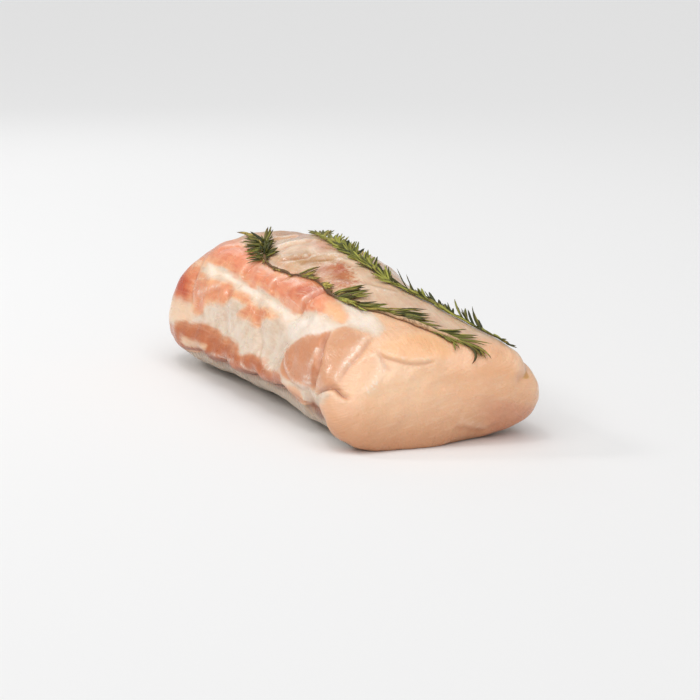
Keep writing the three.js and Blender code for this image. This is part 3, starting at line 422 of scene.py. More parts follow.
# Tissues in the order in which they lie over each other. Outlines are places on the skin, rounded through;
# rim is the colour at the tissue's edge, core further in than rimWidth, deep in its darker mottles. soft is
# half the width of its edge in millimetres, mottle and veins are how strongly it is marked. Where they are
# left out, opacity is 1 and veins 0. A ragged edge also strays in fine specks by so many millimetres.
tissues = dict(
    farCut=dict(
        outlines=[[(-0.03, -95), (0.07, -95), (0.08, 0), (0.085, 90), (0.08, 180), (0.07, 275),
                   (-0.03, 275)]],
        rim=tint(238, 186, 150), core=tint(230, 166, 132), deep=tint(212, 140, 108),
        rimWidth=5, soft=3, mottle=0.6, veins=0.2),
    silverskin=dict(
        outlines=[[(0.1, 118), (0.2, 121), (0.3, 123.5), (0.42, 125), (0.5, 120), (0.6, 119), (0.7, 113),
                   (0.76, 106), (0.8, 98), (0.84, 88), (0.85, 72), (0.84, 52), (0.82, 36), (0.8, 20),
                   (0.6, 17), (0.4, 16), (0.2, 22), (0.1, 24), (0.07, 70)]],
        rim=tint(232, 188, 150), core=tint(228, 198, 168), deep=tint(212, 162, 128),
        rimWidth=9, soft=4, mottle=0.75, veins=0.3),
    silverWarm=dict(
        outlines=[[(0.07, 119), (0.14, 118), (0.2, 114), (0.23, 104), (0.22, 90), (0.17, 76), (0.07, 70)]],
        rim=tint(216, 170, 126), core=tint(202, 148, 100), deep=tint(188, 126, 82),
        rimWidth=9, soft=7, opacity=0.8, mottle=0.5, veins=0.2),
    fat=dict(
        outlines=[[(0.07, 160), (0.1, 158), (0.16, 138), (0.2, 120), (0.4, 124), (0.6, 119), (0.7, 112),
                   (0.75, 108), (0.8, 107), (0.84, 109.5), (0.862, 114), (0.82, 119), (0.78, 124),
                   (0.76, 130), (0.75, 138), (0.72, 146), (0.68, 152), (0.62, 162), (0.6, 172), (0.55, 178),
                   (0.4, 182), (0.2, 182), (0.07, 178)],
                  [(0.6, 168), (0.66, 170), (0.74, 167), (0.78, 168), (0.825, 164.5), (0.86, 162),
                   (0.876, 166), (0.86, 171), (0.82, 175), (0.8, 185), (0.74, 189), (0.7, 186), (0.69, 178),
                   (0.64, 176.5), (0.6, 176)]],
        rim=tint(234, 200, 170), core=tint(231, 211, 190), deep=tint(206, 172, 142),
        rimWidth=3, soft=1.5, mottle=0.8, veins=0.1),
    peachLimb=dict(
        outlines=[[(0.06, 160), (0.12, 159.5), (0.165, 161), (0.18, 166), (0.165, 171), (0.12, 174.5),
                   (0.06, 177)]],
        rim=tint(240, 204, 170), core=tint(242, 206, 172), deep=tint(232, 188, 150),
        rimWidth=3, soft=3, opacity=0.85, mottle=0.5, veins=0.1),
    veil=dict(
        outlines=[[(0.5, 140.2), (0.56, 139.8), (0.6, 135.5), (0.64, 133), (0.68, 130.8), (0.72, 128.3),
                   (0.742, 125.5), (0.735, 121.5), (0.7, 119.8), (0.66, 119.5), (0.64, 118), (0.66, 115),
                   (0.7, 112.5), (0.73, 109.5), (0.77, 108), (0.81, 108), (0.845, 110.5), (0.862, 114.5),
                   (0.84, 117.5), (0.8, 119.3), (0.775, 121.5), (0.757, 125), (0.75, 131), (0.745, 137),
                   (0.72, 142), (0.68, 147), (0.65, 151), (0.615, 155), (0.585, 155), (0.56, 152),
                   (0.53, 149), (0.5, 147)]],
        rim=tint(238, 212, 186), core=tint(247, 231, 215), deep=tint(234, 210, 188),
        rimWidth=4, soft=2.4, opacity=0.95, mottle=0.7),
    seamFat=dict(
        outlines=[[(0.163, 136.5), (0.2, 138), (0.26, 138.5), (0.3, 140.2), (0.34, 140.5), (0.42, 140.5),
                   (0.5, 140.2), (0.56, 139.8), (0.575, 143), (0.53, 147), (0.5, 146.5), (0.42, 146),
                   (0.34, 145.5), (0.3, 144.5), (0.26, 142.5), (0.215, 142.5), (0.2, 145), (0.185, 144.5),
                   (0.17, 140)]],
        rim=tint(242, 214, 186), core=tint(250, 232, 213), deep=tint(244, 218, 194),
        rimWidth=2, soft=1.3, mottle=0.5),
    ribMuscle=dict(
        outlines=[[(0.06, 116), (0.16, 116), (0.2, 119), (0.26, 121.5), (0.3, 123.5), (0.33, 126),
                   (0.37, 126.5), (0.41, 125.5), (0.44, 122.5), (0.48, 120.5), (0.53, 118.5), (0.58, 118.5),
                   (0.62, 119.5), (0.66, 120), (0.7, 120.3), (0.73, 122), (0.738, 124.5), (0.725, 127),
                   (0.7, 128.8), (0.66, 131), (0.62, 133.5), (0.588, 136.4), (0.572, 139), (0.555, 140.6),
                   (0.5, 140.9), (0.46, 140.3), (0.4, 140.2), (0.34, 139.9), (0.3, 139.6), (0.26, 137.6),
                   (0.2, 137), (0.17, 136), (0.13, 137), (0.06, 138)]],
        rim=tint(246, 182, 134), core=tint(240, 154, 110), deep=tint(222, 122, 84),
        rimWidth=5, soft=1.4, mottle=0.95, veins=0.35),
    # pale pink patches along the rib muscle's top, partly painted sheen
    ribPaleSheen=dict(
        outlines=[[(0.285, 128.5), (0.316, 126.5), (0.381, 128), (0.423, 128.5), (0.436, 126.5),
                   (0.476, 123.5), (0.513, 125.5), (0.484, 129.5), (0.429, 131), (0.397, 131.5),
                   (0.332, 130.5)]],
        rim=tint(242, 190, 158), core=tint(244, 206, 184), deep=tint(236, 180, 150),
        rimWidth=4, soft=3.5, opacity=0.6, mottle=0.5, veins=0.3),
    ribRed=dict(
        outlines=[[(0.5, 129.5), (0.523, 123), (0.564, 119.8), (0.588, 120), (0.586, 124.5), (0.578, 130),
                   (0.557, 134.5), (0.5, 135)]],
        rim=tint(230, 146, 104), core=tint(210, 108, 68), deep=tint(192, 84, 48),
        rimWidth=4, soft=4, opacity=0.86, mottle=0.8, veins=0.4),
    ribTip=dict(
        outlines=[[(0.642, 123.5), (0.672, 120.8), (0.706, 120.3), (0.732, 121.8), (0.74, 124),
                   (0.723, 127.3), (0.679, 129)]],
        rim=tint(250, 206, 164), core=tint(252, 196, 146), deep=tint(244, 178, 126),
        rimWidth=3, soft=2.5, opacity=0.8, mottle=0.5, veins=0.2),
    orangePatch=dict(
        outlines=[[(0.06, 136), (0.1, 137.5), (0.13, 138.5), (0.15, 140.5), (0.17, 143), (0.2, 144.5),
                   (0.24, 143.8), (0.28, 144.3), (0.31, 145.5), (0.34, 146.2), (0.37, 147), (0.36, 149.5),
                   (0.33, 150.5), (0.3, 152), (0.28, 154), (0.26, 156), (0.22, 159), (0.205, 163),
                   (0.185, 164.3), (0.17, 161), (0.16, 158.5), (0.13, 158.8), (0.1, 159.5), (0.06, 160)],
                  [(0.35, 147.5), (0.38, 147), (0.42, 146.7), (0.46, 146.7), (0.495, 147.2), (0.485, 149.5),
                   (0.46, 152), (0.443, 155), (0.436, 159.3), (0.41, 159.6), (0.392, 157.5), (0.36, 156.2),
                   (0.335, 156.5), (0.345, 154), (0.365, 151.5), (0.36, 149.5)]],
        rim=tint(244, 188, 138), core=tint(234, 153, 106), deep=tint(213, 122, 80),
        rimWidth=4, soft=1.8, opacity=0.96, mottle=0.85, veins=0.25),
    domeRed=dict(
        outlines=[[(0.07, 143), (0.1, 143), (0.135, 145), (0.15, 150), (0.155, 158.5), (0.13, 160.5),
                   (0.07, 160)]],
        rim=tint(216, 112, 58), core=tint(194, 74, 24), deep=tint(178, 58, 18),
        rimWidth=5, soft=4, opacity=0.95, mottle=0.6, veins=0.15),
    lowerMuscle=dict(
        outlines=[[(0.06, 180), (0.1, 178), (0.13, 175.5), (0.161, 171.8), (0.187, 170.8), (0.215, 168.3),
                   (0.245, 168.3), (0.274, 168.8), (0.302, 168.8), (0.33, 168.8), (0.36, 170),
                   (0.391, 171.2), (0.42, 172), (0.456, 171), (0.495, 169.5), (0.521, 170.8), (0.554, 171),
                   (0.589, 170.8), (0.61, 171.5), (0.612, 178), (0.602, 181), (0.575, 182), (0.54, 186),
                   (0.512, 187), (0.495, 183), (0.475, 183), (0.44, 188), (0.41, 191), (0.385, 192.5),
                   (0.358, 190), (0.342, 185.5), (0.315, 191), (0.285, 195), (0.265, 193.5), (0.245, 188),
                   (0.219, 188), (0.179, 193.7), (0.13, 197), (0.06, 198)]],
        rim=tint(214, 144, 98), core=tint(191, 108, 60), deep=tint(166, 86, 46),
        rimWidth=4, soft=1.4, mottle=0.6, veins=0.1),
    lobeShade=dict(
        outlines=[[(0.15, 191), (0.176, 187.5), (0.2, 185.5), (0.24, 180.5), (0.262, 179.5), (0.25, 184),
                   (0.24, 188), (0.2, 190), (0.179, 194), (0.13, 198)],
                  [(0.265, 181.5), (0.291, 179.8), (0.319, 180.2), (0.35, 179.5), (0.375, 178.5),
                   (0.36, 183), (0.34, 186), (0.315, 191.5), (0.285, 195.5), (0.262, 194), (0.25, 188)],
                  [(0.41, 180.5), (0.43, 179.5), (0.45, 180.5), (0.48, 180), (0.515, 178), (0.5, 183),
                   (0.475, 184), (0.44, 188.5), (0.41, 191.5), (0.385, 193), (0.37, 189)]],
        rim=tint(156, 90, 60), core=tint(130, 72, 48), deep=tint(106, 58, 38),
        rimWidth=3, soft=1.2, opacity=0.75, mottle=0.5),
    # cream fat edge on the near lobe, with a painted sheen on it
    creamFatSheen=dict(
        outlines=[[(0.172, 178), (0.201, 177.6), (0.238, 177), (0.262, 177.4), (0.25, 179), (0.215, 182),
                   (0.186, 185.5), (0.172, 183)]],
        rim=tint(222, 176, 138), core=tint(238, 208, 174), deep=tint(222, 184, 148),
        rimWidth=3, soft=1.2, opacity=0.85, mottle=0.4),
    lowLobe=dict(
        outlines=[[(0.6, 180), (0.615, 177.5), (0.65, 177), (0.68, 178), (0.7, 180), (0.708, 184),
                   (0.67, 187), (0.633, 186.5), (0.61, 183)]],
        rim=tint(192, 124, 86), core=tint(222, 168, 128), deep=tint(208, 148, 108),
        rimWidth=4, soft=1.5, mottle=0.5, veins=0.1),
    farPillow=dict(
        outlines=[[(0.6, 158.5), (0.62, 155.8), (0.64, 152.3), (0.66, 148.5), (0.68, 146), (0.7, 143.5),
                   (0.72, 141), (0.735, 137), (0.748, 133.5), (0.765, 141), (0.784, 148), (0.788, 155),
                   (0.776, 163), (0.757, 170), (0.72, 171.5), (0.68, 173), (0.64, 173), (0.605, 170.5),
                   (0.593, 165)]],
        rim=tint(224, 164, 124), core=tint(212, 142, 98), deep=tint(202, 128, 84),
        rimWidth=4, soft=1.4, mottle=0.5, veins=0.1),
    nearPillow=dict(
        outlines=[[(0.752, 132), (0.76, 125), (0.78, 121.5), (0.8, 119.5), (0.84, 118), (0.86, 118),
                   (0.878, 126), (0.888, 138), (0.889, 155), (0.876, 159.5), (0.855, 161.8), (0.825, 165),
                   (0.795, 168), (0.765, 171), (0.775, 164), (0.787, 155), (0.783, 148), (0.765, 141)]],
        rim=tint(232, 180, 142), core=tint(222, 164, 124), deep=tint(212, 150, 110),
        rimWidth=4, soft=1.4, mottle=0.5, veins=0.1),
    tongue=dict(
        outlines=[[(0.86, 82), (0.9, 78), (0.918, 79), (0.93, 87), (0.939, 100), (0.939, 112), (0.93, 117),
                   (0.92, 119.5), (0.905, 121), (0.893, 121), (0.875, 112), (0.86, 100), (0.85, 90)]],
        rim=tint(247, 197, 148), core=tint(245, 186, 130), deep=tint(239, 176, 124),
        rimWidth=5, soft=3, opacity=0.65, mottle=0.4),
    silverTan=dict(
        outlines=[[(0.367, 122), (0.344, 115), (0.366, 108), (0.412, 101.5), (0.462, 95), (0.507, 97.5),
                   (0.468, 106), (0.473, 114.5), (0.428, 120.5)]],
        rim=tint(206, 162, 114), core=tint(180, 133, 76), deep=tint(166, 110, 60),
        rimWidth=7, soft=6, opacity=0.9, mottle=0.7, veins=0.2),
    silverPink=dict(
        outlines=[[(0.31, 92), (0.333, 85), (0.415, 92.5), (0.408, 100), (0.36, 99)],
                  [(0.18, 91), (0.217, 85), (0.3, 94), (0.27, 99)]],
        rim=tint(226, 178, 150), core=tint(226, 160, 130), deep=tint(212, 136, 104),
        rimWidth=4, soft=5, opacity=0.65, mottle=0.7, veins=0.2),
    blood=dict(
        outlines=[[(0.476, 113.5), (0.474, 106.5), (0.507, 97.5), (0.55, 99), (0.591, 102), (0.622, 106.5),
                   (0.6, 114), (0.547, 116.5), (0.51, 117)]],
        rim=tint(203, 134, 78), core=tint(188, 110, 52), deep=tint(175, 82, 32),
        rimWidth=4, soft=4, opacity=0.88, mottle=0.8, veins=0.3, ragged=6),
    bloodSpots=dict(
        outlines=[[(0.495, 105.5), (0.512, 98), (0.544, 101.5), (0.54, 107)],
                  [(0.572, 111), (0.589, 103), (0.62, 105), (0.602, 113)]],
        rim=tint(202, 116, 66), core=tint(192, 96, 46), deep=tint(176, 76, 32),
        rimWidth=3, soft=2.5, opacity=0.8, mottle=0.8, ragged=8),
    hiddenFat=dict(
        outlines=[[(0.12, 24), (0.3, 16), (0.5, 12), (0.7, 14), (0.82, 8), (0.8, 3), (0.65, 5), (0.45, 3),
                   (0.3, 7), (0.13, 14)]],
        rim=tint(236, 208, 182), core=tint(242, 226, 208), deep=tint(232, 206, 184),
        rimWidth=3, soft=1.5, mottle=0.4),
    hiddenMuscle=dict(
        outlines=[[(0.12, 10), (0.3, 3), (0.45, -1), (0.65, 1), (0.82, -1), (0.84, -10), (0.7, -15),
                   (0.5, -14), (0.3, -11), (0.12, -14)]],
        rim=tint(234, 178, 140), core=tint(220, 150, 116), deep=tint(200, 124, 92),
        rimWidth=5, soft=1.4, mottle=0.6, veins=0.2),
    fatCap=dict(
        outlines=[[(0.1, 275), (0.1, 204), (0.13, 198), (0.179, 194.5), (0.219, 189), (0.245, 189),
                   (0.265, 194.5), (0.285, 196), (0.315, 192), (0.342, 186.5), (0.358, 191), (0.385, 193.5),
                   (0.41, 192), (0.44, 189), (0.475, 184), (0.495, 184), (0.512, 188), (0.54, 187),
                   (0.575, 183), (0.602, 182), (0.633, 187.5), (0.67, 188), (0.704, 186.5), (0.76, 193),
                   (0.81, 205), (0.82, 230), (0.82, 275)],
                  [(0.1, -95), (0.1, -40), (0.12, -20), (0.35, -16), (0.6, -21), (0.82, -15), (0.83, -40),
                   (0.82, -95)]],
        rim=tint(200, 175, 148), core=tint(203, 182, 158), deep=tint(186, 161, 137),
        rimWidth=3, soft=1, mottle=0.4),
    # painted shade: a dark fill where the recess behind the near lobe lies in shadow
    recessShade=dict(
        outlines=[[(0.705, 187), (0.72, 182.5), (0.733, 180.5), (0.755, 181.5), (0.775, 186), (0.775, 196),
                   (0.753, 204), (0.728, 204), (0.712, 195)]],
        rim=tint(140, 98, 74), core=tint(100, 66, 48), deep=tint(84, 54, 40),
        rimWidth=4, soft=2.5, opacity=0.85, mottle=0.4),
    lowPink=dict(
        outlines=[[(0.84, -52), (0.9, -56), (0.94, -45), (0.95, -25), (0.93, -8), (0.86, -8), (0.82, -25)]],
        rim=tint(226, 166, 132), core=tint(214, 146, 114), deep=tint(200, 128, 98),
        rimWidth=6, soft=7, opacity=0.55, mottle=0.7),
    notchFat=dict(
        outlines=[[(0.872, 34.5), (0.882, 33), (0.893, 28.5), (0.886, 28), (0.876, 31)]],
        rim=tint(224, 176, 116), core=tint(206, 156, 84), deep=tint(196, 144, 74),
        rimWidth=1, soft=0.8, opacity=0.8, mottle=0.3),
)


# Distance in millimetres to a closed outline on the flat skin, positive inside it (even-odd rule).
def insideDepth(flat, outline):
    ring = smoothLine(flatPlaces(outline), reliefs["outlineSteps"] * len(outline), closed=True)
    best = np.full(flat.shape[:-1], np.inf)
    inside = np.zeros(flat.shape[:-1], bool)
    for start, end in zip(ring[:-1], ring[1:]):
        step = end - start
        offset = flat - start
        part = np.clip(offset @ step / (step @ step), 0, 1)
        best = np.minimum(best, np.linalg.norm(offset - part[..., None] * step, axis=-1))
        if step[1] != 0:
            crosses = (flat[..., 1] < start[1]) != (flat[..., 1] < end[1])
            inside ^= crosses & (offset[..., 0] < offset[..., 1] * step[0] / step[1])
    return np.where(inside, best, -best)


# Values of the far tip, the rings and the near tip in the order of the roast's points.
def inOrder(first, rings, last):
    return np.concatenate([[first], rings.reshape(-1), [last]])


# Rows along and columns around, crowded by a sine where the most detail is; the seam runs underneath. The
# whole is shifted to the middle of the CAD node's box.
def makeRoast():
    rows, columns, crowding = form["rows"], form["columns"], form["crowding"]
    along = np.arange(1, rows) / rows
    turn = np.arange(columns) / columns
    middle = (crowding["middle"] + 90) / 360
    waves = np.sin(2 * np.pi * (turn - middle)) + np.sin(2 * np.pi * middle)
    around = 360 * turn - 90 - crowding["share"] * waves
    along, around = np.broadcast_arrays(along[:, None], around[None, :])
    points, _, creaseShade, pale = skin(along, around)
    ends, _, endCreaseShade, endPale = skin(np.array([0.0, 1.0]), np.array([0.0, 0.0]))
    low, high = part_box("roast")
    boxMiddle = (np.array(low) + np.array(high)) / 2 / mm
    every = np.concatenate([points.reshape(-1, 3), ends])
    shift = boxMiddle - (every.min(0) + every.max(0)) / 2
    shift[2] = 0
    mesh = loftMesh("porkLoinRoast", [(ends[:1] + shift, points[None] + shift, ends[1:] + shift)])
    flat = flatPlaces(np.stack([along, around], -1))
    deepest = form["deepest"]
    for name, tissue in tissues.items():
        depth = np.max([insideDepth(flat, outline) for outline in tissue["outlines"]], axis=0)
        depth = inOrder(depth[0].mean(), depth, depth[-1].mean())
        addAttribute(mesh, name, np.clip(depth, -deepest, deepest))
    addAttribute(mesh, "creaseShade", inOrder(endCreaseShade[0], creaseShade, endCreaseShade[1]))
    addAttribute(mesh, "pale", inOrder(endPale[0], pale, endPale[1]))
    cutStart, cutFade = form["nearCut"]
    addAttribute(mesh, "nearCut", inOrder(0.0, smoothStep((along - cutStart) / cutFade), 1.0))
    alongSkin = inOrder(0.0, flat[..., 0], form["skinSpan"])
    aroundSkin = inOrder(0.0, flat[..., 1], 0.0)
    addAttribute(mesh, "skinPlace", np.stack([alongSkin, aroundSkin, 0 * alongSkin], -1) * mm)
    print("roast", len(mesh.vertices), "points, shift", shift.round(2))
    return addPiece("pork_loin_roast", mesh, "roast"), shift


# Sprigs. A route runs from the tuft of the front sprig, and from the near end of the rear one. A cluster is
# a row: its stretch of the stem, how many needles it has, how far they turn off the stem (negative is to
# the left of travel, seen from outside) and lift off the skin, their length, how dry they are (0 green, 1
# dry) and the range of their tone from dark to pale. A stem's radius is given by share of the route, and
# its woody knots as (share, width, height).
sprigs = dict(
    restGap=0.3,  # gap between a stem and the skin
    stemSteps=90,
    stemSides=10,
    stemRipple=(0.12, 2.2),  # share of the radius, and radians to each millimetre
    needleSides=6,
    needleStations=7,
    needleHalfThickness=0.38,
    needleRise=0.8,  # height of a needle's foot over the skin
    needleCurl=0.18,  # share of its turn that a needle bends back by
    backCurl=0.15,  # share of that curl for a needle that points back along the stem
    curlSpread=9.0,  # degrees by which needles bend at random
    rollSpread=0.5,  # radians by which they roll
    drySpread=0.24,
    liftPower=1.4,
    leafWave=(0.04, 0.92),  # start and length of the half wave that a needle's width follows
    leafPower=0.6,
    groove=0.5,  # share of the thickness that the groove takes
    groovePower=8,  # more is narrower
    nearMost=0.985,  # furthest place along for a needle
)
frontSprig = dict(
    name="rosemary_sprig_front",
    node="rosemary_front",
    seed=7,
    needleHalfWidth=(0.42, 0.74),
    stemRadius=[(0, 0.35), (0.13, 0.4), (0.19, 0.65), (0.34, 0.6), (0.45, 0.45), (0.78, 0.5),
                (0.86, 0.9), (1, 0.85)],
    route=[(0.2, 109.5), (0.25, 115.5), (0.295, 121.5), (0.341, 126), (0.405, 126.5), (0.488, 121.5),
           (0.54, 119.5), (0.63, 119.5), (0.706, 113), (0.755, 103), (0.799, 93), (0.833, 85), (0.85, 78),
           (0.866, 73)],
    knots=[(0.574, 0.014, 0.8), (0.316, 0.008, 0.35), (0.158, 0.012, 0.5), (0.9, 0.03, 0.35)],
    clusters=[
        # dense dark tuft in bunches to all sides with short ones between, then a pair lower down
        ((0.02, 0.1), 16, (70, 104), (0.02, 0.35), (7, 10), 0.15, (0, 0.6)),
        ((0.0, 0.03), 10, (100, 140), (0.1, 0.4), (7, 11), 0.2, (0, 0.55)),
        ((0.0, 0.04), 9, (190, 230), (0.25, 0.6), (7, 11), 0.2, (0, 0.7)),
        ((0.03, 0.08), 10, (-75, -30), (0.05, 0.3), (6, 9), 0.3, (0, 0.6)),
        ((0.0, 0.15), 60, (-180, 180), (0.3, 0.9), (3, 6), 0.15, (0, 0.45)),
        ((0.0, 0.02), 3, (130, 160), (0.1, 0.3), (11, 14), 0.8, (0, 1)),
        ((0.13, 0.16), 11, (-72, -42), (0.05, 0.3), (7, 10), 0.1, (0, 0.7)),
        ((0.12, 0.15), 7, (95, 130), (0.03, 0.2), (7, 10), 0.4, (0, 1)),
        ((0.14, 0.19), 9, (-30, 25), (0.02, 0.2), (4, 8), 0.6, (0, 0.4)),
        ((0.17, 0.33), 13, (-20, 18), (0.0, 0.08), (4, 8), 0.8, (0, 0.3)),
        # few needles along the middle
        ((0.358, 0.4), 6, (-40, -16), (0.03, 0.2), (8, 15), 0.6, (0, 1)),
        ((0.347, 0.432), 7, (-8, 6), (0.02, 0.1), (8, 14), 0.5, (0, 1)),
        ((0.49, 0.527), 5, (-26, -14), (0.03, 0.14), (8, 12), 0.9, (0, 1)),
        ((0.516, 0.553), 5, (-18, 2), (0.03, 0.14), (5, 9), 0.7, (0, 1)),
        # bunches over the stem along the rest, then at its near end
        ((0.59, 0.645), 13, (-78, -54), (0.04, 0.2), (13, 18), 0.2, (0, 0.8)),
        ((0.616, 0.684), 7, (-48, -30), (0.04, 0.2), (7, 13), 0.3, (0, 0.4)),
        ((0.584, 0.684), 12, (-16, 3), (0.04, 0.12), (10, 16), 0.5, (0, 1)),
        ((0.674, 0.737), 13, (-38, -18), (0.05, 0.14), (11, 16), 0.2, (0, 0.6)),
        ((0.706, 0.79), 13, (-22, -4), (0.05, 0.14), (11, 17), 0.3, (0, 0.7)),
        ((0.77, 0.825), 13, (-56, -36), (0.04, 0.14), (14, 21), 0.4, (0, 0.7)),
        ((0.805, 0.86), 12, (-42, -20), (0.03, 0.14), (12, 18), 0.25, (0, 0.5)),
        ((0.9, 0.96), 5, (3, 16), (0.0, 0.08), (8, 14), 0.5, (0, 1)),
        ((0.93, 1.0), 13, (-10, 10), (0.02, 0.12), (14, 22), 0.35, (0.05, 0.75)),
        ((0.92, 0.98), 9, (-62, -26), (0.05, 0.2), (11, 17), 0.25, (0, 0.65)),
        ((0.94, 0.99), 4, (34, 66), (0.03, 0.1), (8, 14), 0.45, (0, 1)),
    ],
)
rearSprig = dict(
    name="rosemary_sprig_rear",
    node="rosemary_rear",
    seed=23,
    needleHalfWidth=(0.5, 0.9),
    stemRadius=[(0, 0.2), (0.15, 0.45), (1, 0.35)],
    route=[(0.822, 46.5), (0.8, 50), (0.777, 52.5), (0.757, 56), (0.732, 60.5), (0.703, 65), (0.677, 69.5),
           (0.655, 74), (0.632, 78.5), (0.602, 83.8), (0.489, 88.5), (0.351, 87), (0.2, 79)],
    knots=[],
    clusters=[
        # bunches that stand up from the stem, from the far end on, then a few between them
        ((0.86, 0.97), 16, (10, 60), (0.2, 0.55), (6, 9), 0.1, (0, 1)),
        ((0.58, 0.76), 40, (10, 60), (0.15, 0.6), (6, 9), 0.1, (0, 1)),
        ((0.45, 0.52), 16, (10, 56), (0.15, 0.55), (6, 9), 0.1, (0, 1)),
        ((0.36, 0.43), 16, (10, 56), (0.15, 0.6), (6, 9), 0.15, (0, 1)),
        ((0.29, 0.31), 2, (10, 30), (0.5, 0.7), (10, 12), 0.1, (0, 0.3)),
        ((0.22, 0.27), 12, (5, 50), (0.2, 0.55), (5, 8), 0.1, (0, 0.7)),
        ((0.15, 0.2), 10, (5, 50), (0.2, 0.6), (5, 8), 0.1, (0, 0.7)),
        ((0.06, 0.13), 14, (-10, 40), (0.4, 0.9), (6, 10), 0.1, (0, 0.7)),
        ((0.0, 0.03), 9, (120, 220), (0.1, 0.45), (4, 7), 0.1, (0, 0.5)),
        ((0.1, 0.97), 16, (14, 56), (0.1, 0.4), (6, 10), 0.1, (0, 1)),
        # others that lie along it
        ((0.08, 0.97), 84, (-34, -6), (0.03, 0.2), (8, 12), 0.15, (0.2, 1)),
        ((0.0, 0.3), 34, (-36, 34), (0.02, 0.2), (5, 8), 0.15, (0, 0.8)),
        ((0.2, 0.99), 62, (-12, 20), (0.06, 0.25), (8, 12), 0.1, (0.2, 1)),
    ],
)


# A tube or blade for each path: rings of an oval section set square to the path, with a shallow groove
# along the top, shrinking to a tip at both ends. Arrays are (pieces, stations).
def strandRings(centres, normals, halfWidth, halfThickness, roll, sides, groove):
    forward = np.gradient(centres, axis=1)
    forward /= np.linalg.norm(forward, axis=-1, keepdims=True)
    side = np.cross(normals, forward)
    side /= np.linalg.norm(side, axis=-1, keepdims=True)
    up = np.cross(forward, side)
    roll = roll[:, None, None]
    side, up = side * np.cos(roll) + up * np.sin(roll), up * np.cos(roll) - side * np.sin(roll)
    angle = np.arange(sides) / sides * 2 * np.pi
    dip = groove * np.clip(np.sin(angle), 0, 1) ** sprigs["groovePower"]
    wide, tall = np.cos(angle), np.sin(angle) * (1 - dip)
    rings = centres[:, :, None] + side[:, :, None] * (halfWidth[..., None] * wide)[..., None]
    return rings + up[:, :, None] * (halfThickness[..., None] * tall)[..., None], angle


# Needles of one sprig: each starts on the stem, walks over the flat skin on a heading that curls back, and
# lifts off by a power of its length. Widths follow a blunt leaf: a half wave of a sine, raised to a power.
def needleShapes(sprig, stem, heading):
    rng = np.random.default_rng(sprig["seed"])
    draws = []
    for stretch, count, turn, lift, length, dryness, tone in sprig["clusters"]:
        row = [rng.uniform(*limits, count) for limits in (stretch, turn, lift, length)]
        row.append(np.clip(rng.normal(dryness, sprigs["drySpread"], count), 0, 1))
        row.append(rng.uniform(*tone, count))
        draws.append(row)
    starts, turns, lifts, lengths, dry, tones = np.concatenate(draws, axis=1)
    count = len(starts)
    step = np.round(starts * (len(stem) - 1)).astype(int)
    share = np.linspace(0, 1, sprigs["needleStations"] + 2)
    curl = sprigs["needleCurl"] * np.where(np.abs(turns) > 90, sprigs["backCurl"], 1)
    bendBack = -curl * turns + rng.normal(0, sprigs["curlSpread"], count)
    angle = np.radians(turns[:, None] + bendBack[:, None] * share) + heading[step][:, None]
    stride = (lengths / (len(share) - 1))[:, None]
    flat = np.stack([np.cos(angle), np.sin(angle)], -1) * stride[..., None]
    flat = stem[step][:, None] + np.cumsum(flat, axis=1) - flat[:, :1]
    along, around = skinPlaces(flat)
    points, normals, _, _ = skin(np.minimum(along, sprigs["nearMost"]), around)
    lifted = lifts[:, None] * lengths[:, None] * share ** sprigs["liftPower"]
    centres = points + normals * (sprigs["needleRise"] + lifted)[..., None]
    waveStart, waveLength = sprigs["leafWave"]
    width = np.sin(np.pi * (waveStart + waveLength * share[1:-1])) ** sprigs["leafPower"]
    halfWidth = rng.uniform(*sprig["needleHalfWidth"], count)[:, None] * width
    halfThickness = sprigs["needleHalfThickness"] * np.ones((count, 1)) * width
    roll = rng.normal(0, sprigs["rollSpread"], count)
    rings, ringAngle = strandRings(centres[:, 1:-1], normals[:, 1:-1], halfWidth, halfThickness, roll,
                                   sprigs["needleSides"], sprigs["groove"])
    return centres[:, 0], rings, centres[:, -1], np.stack([dry, tones], -1), ringAngle


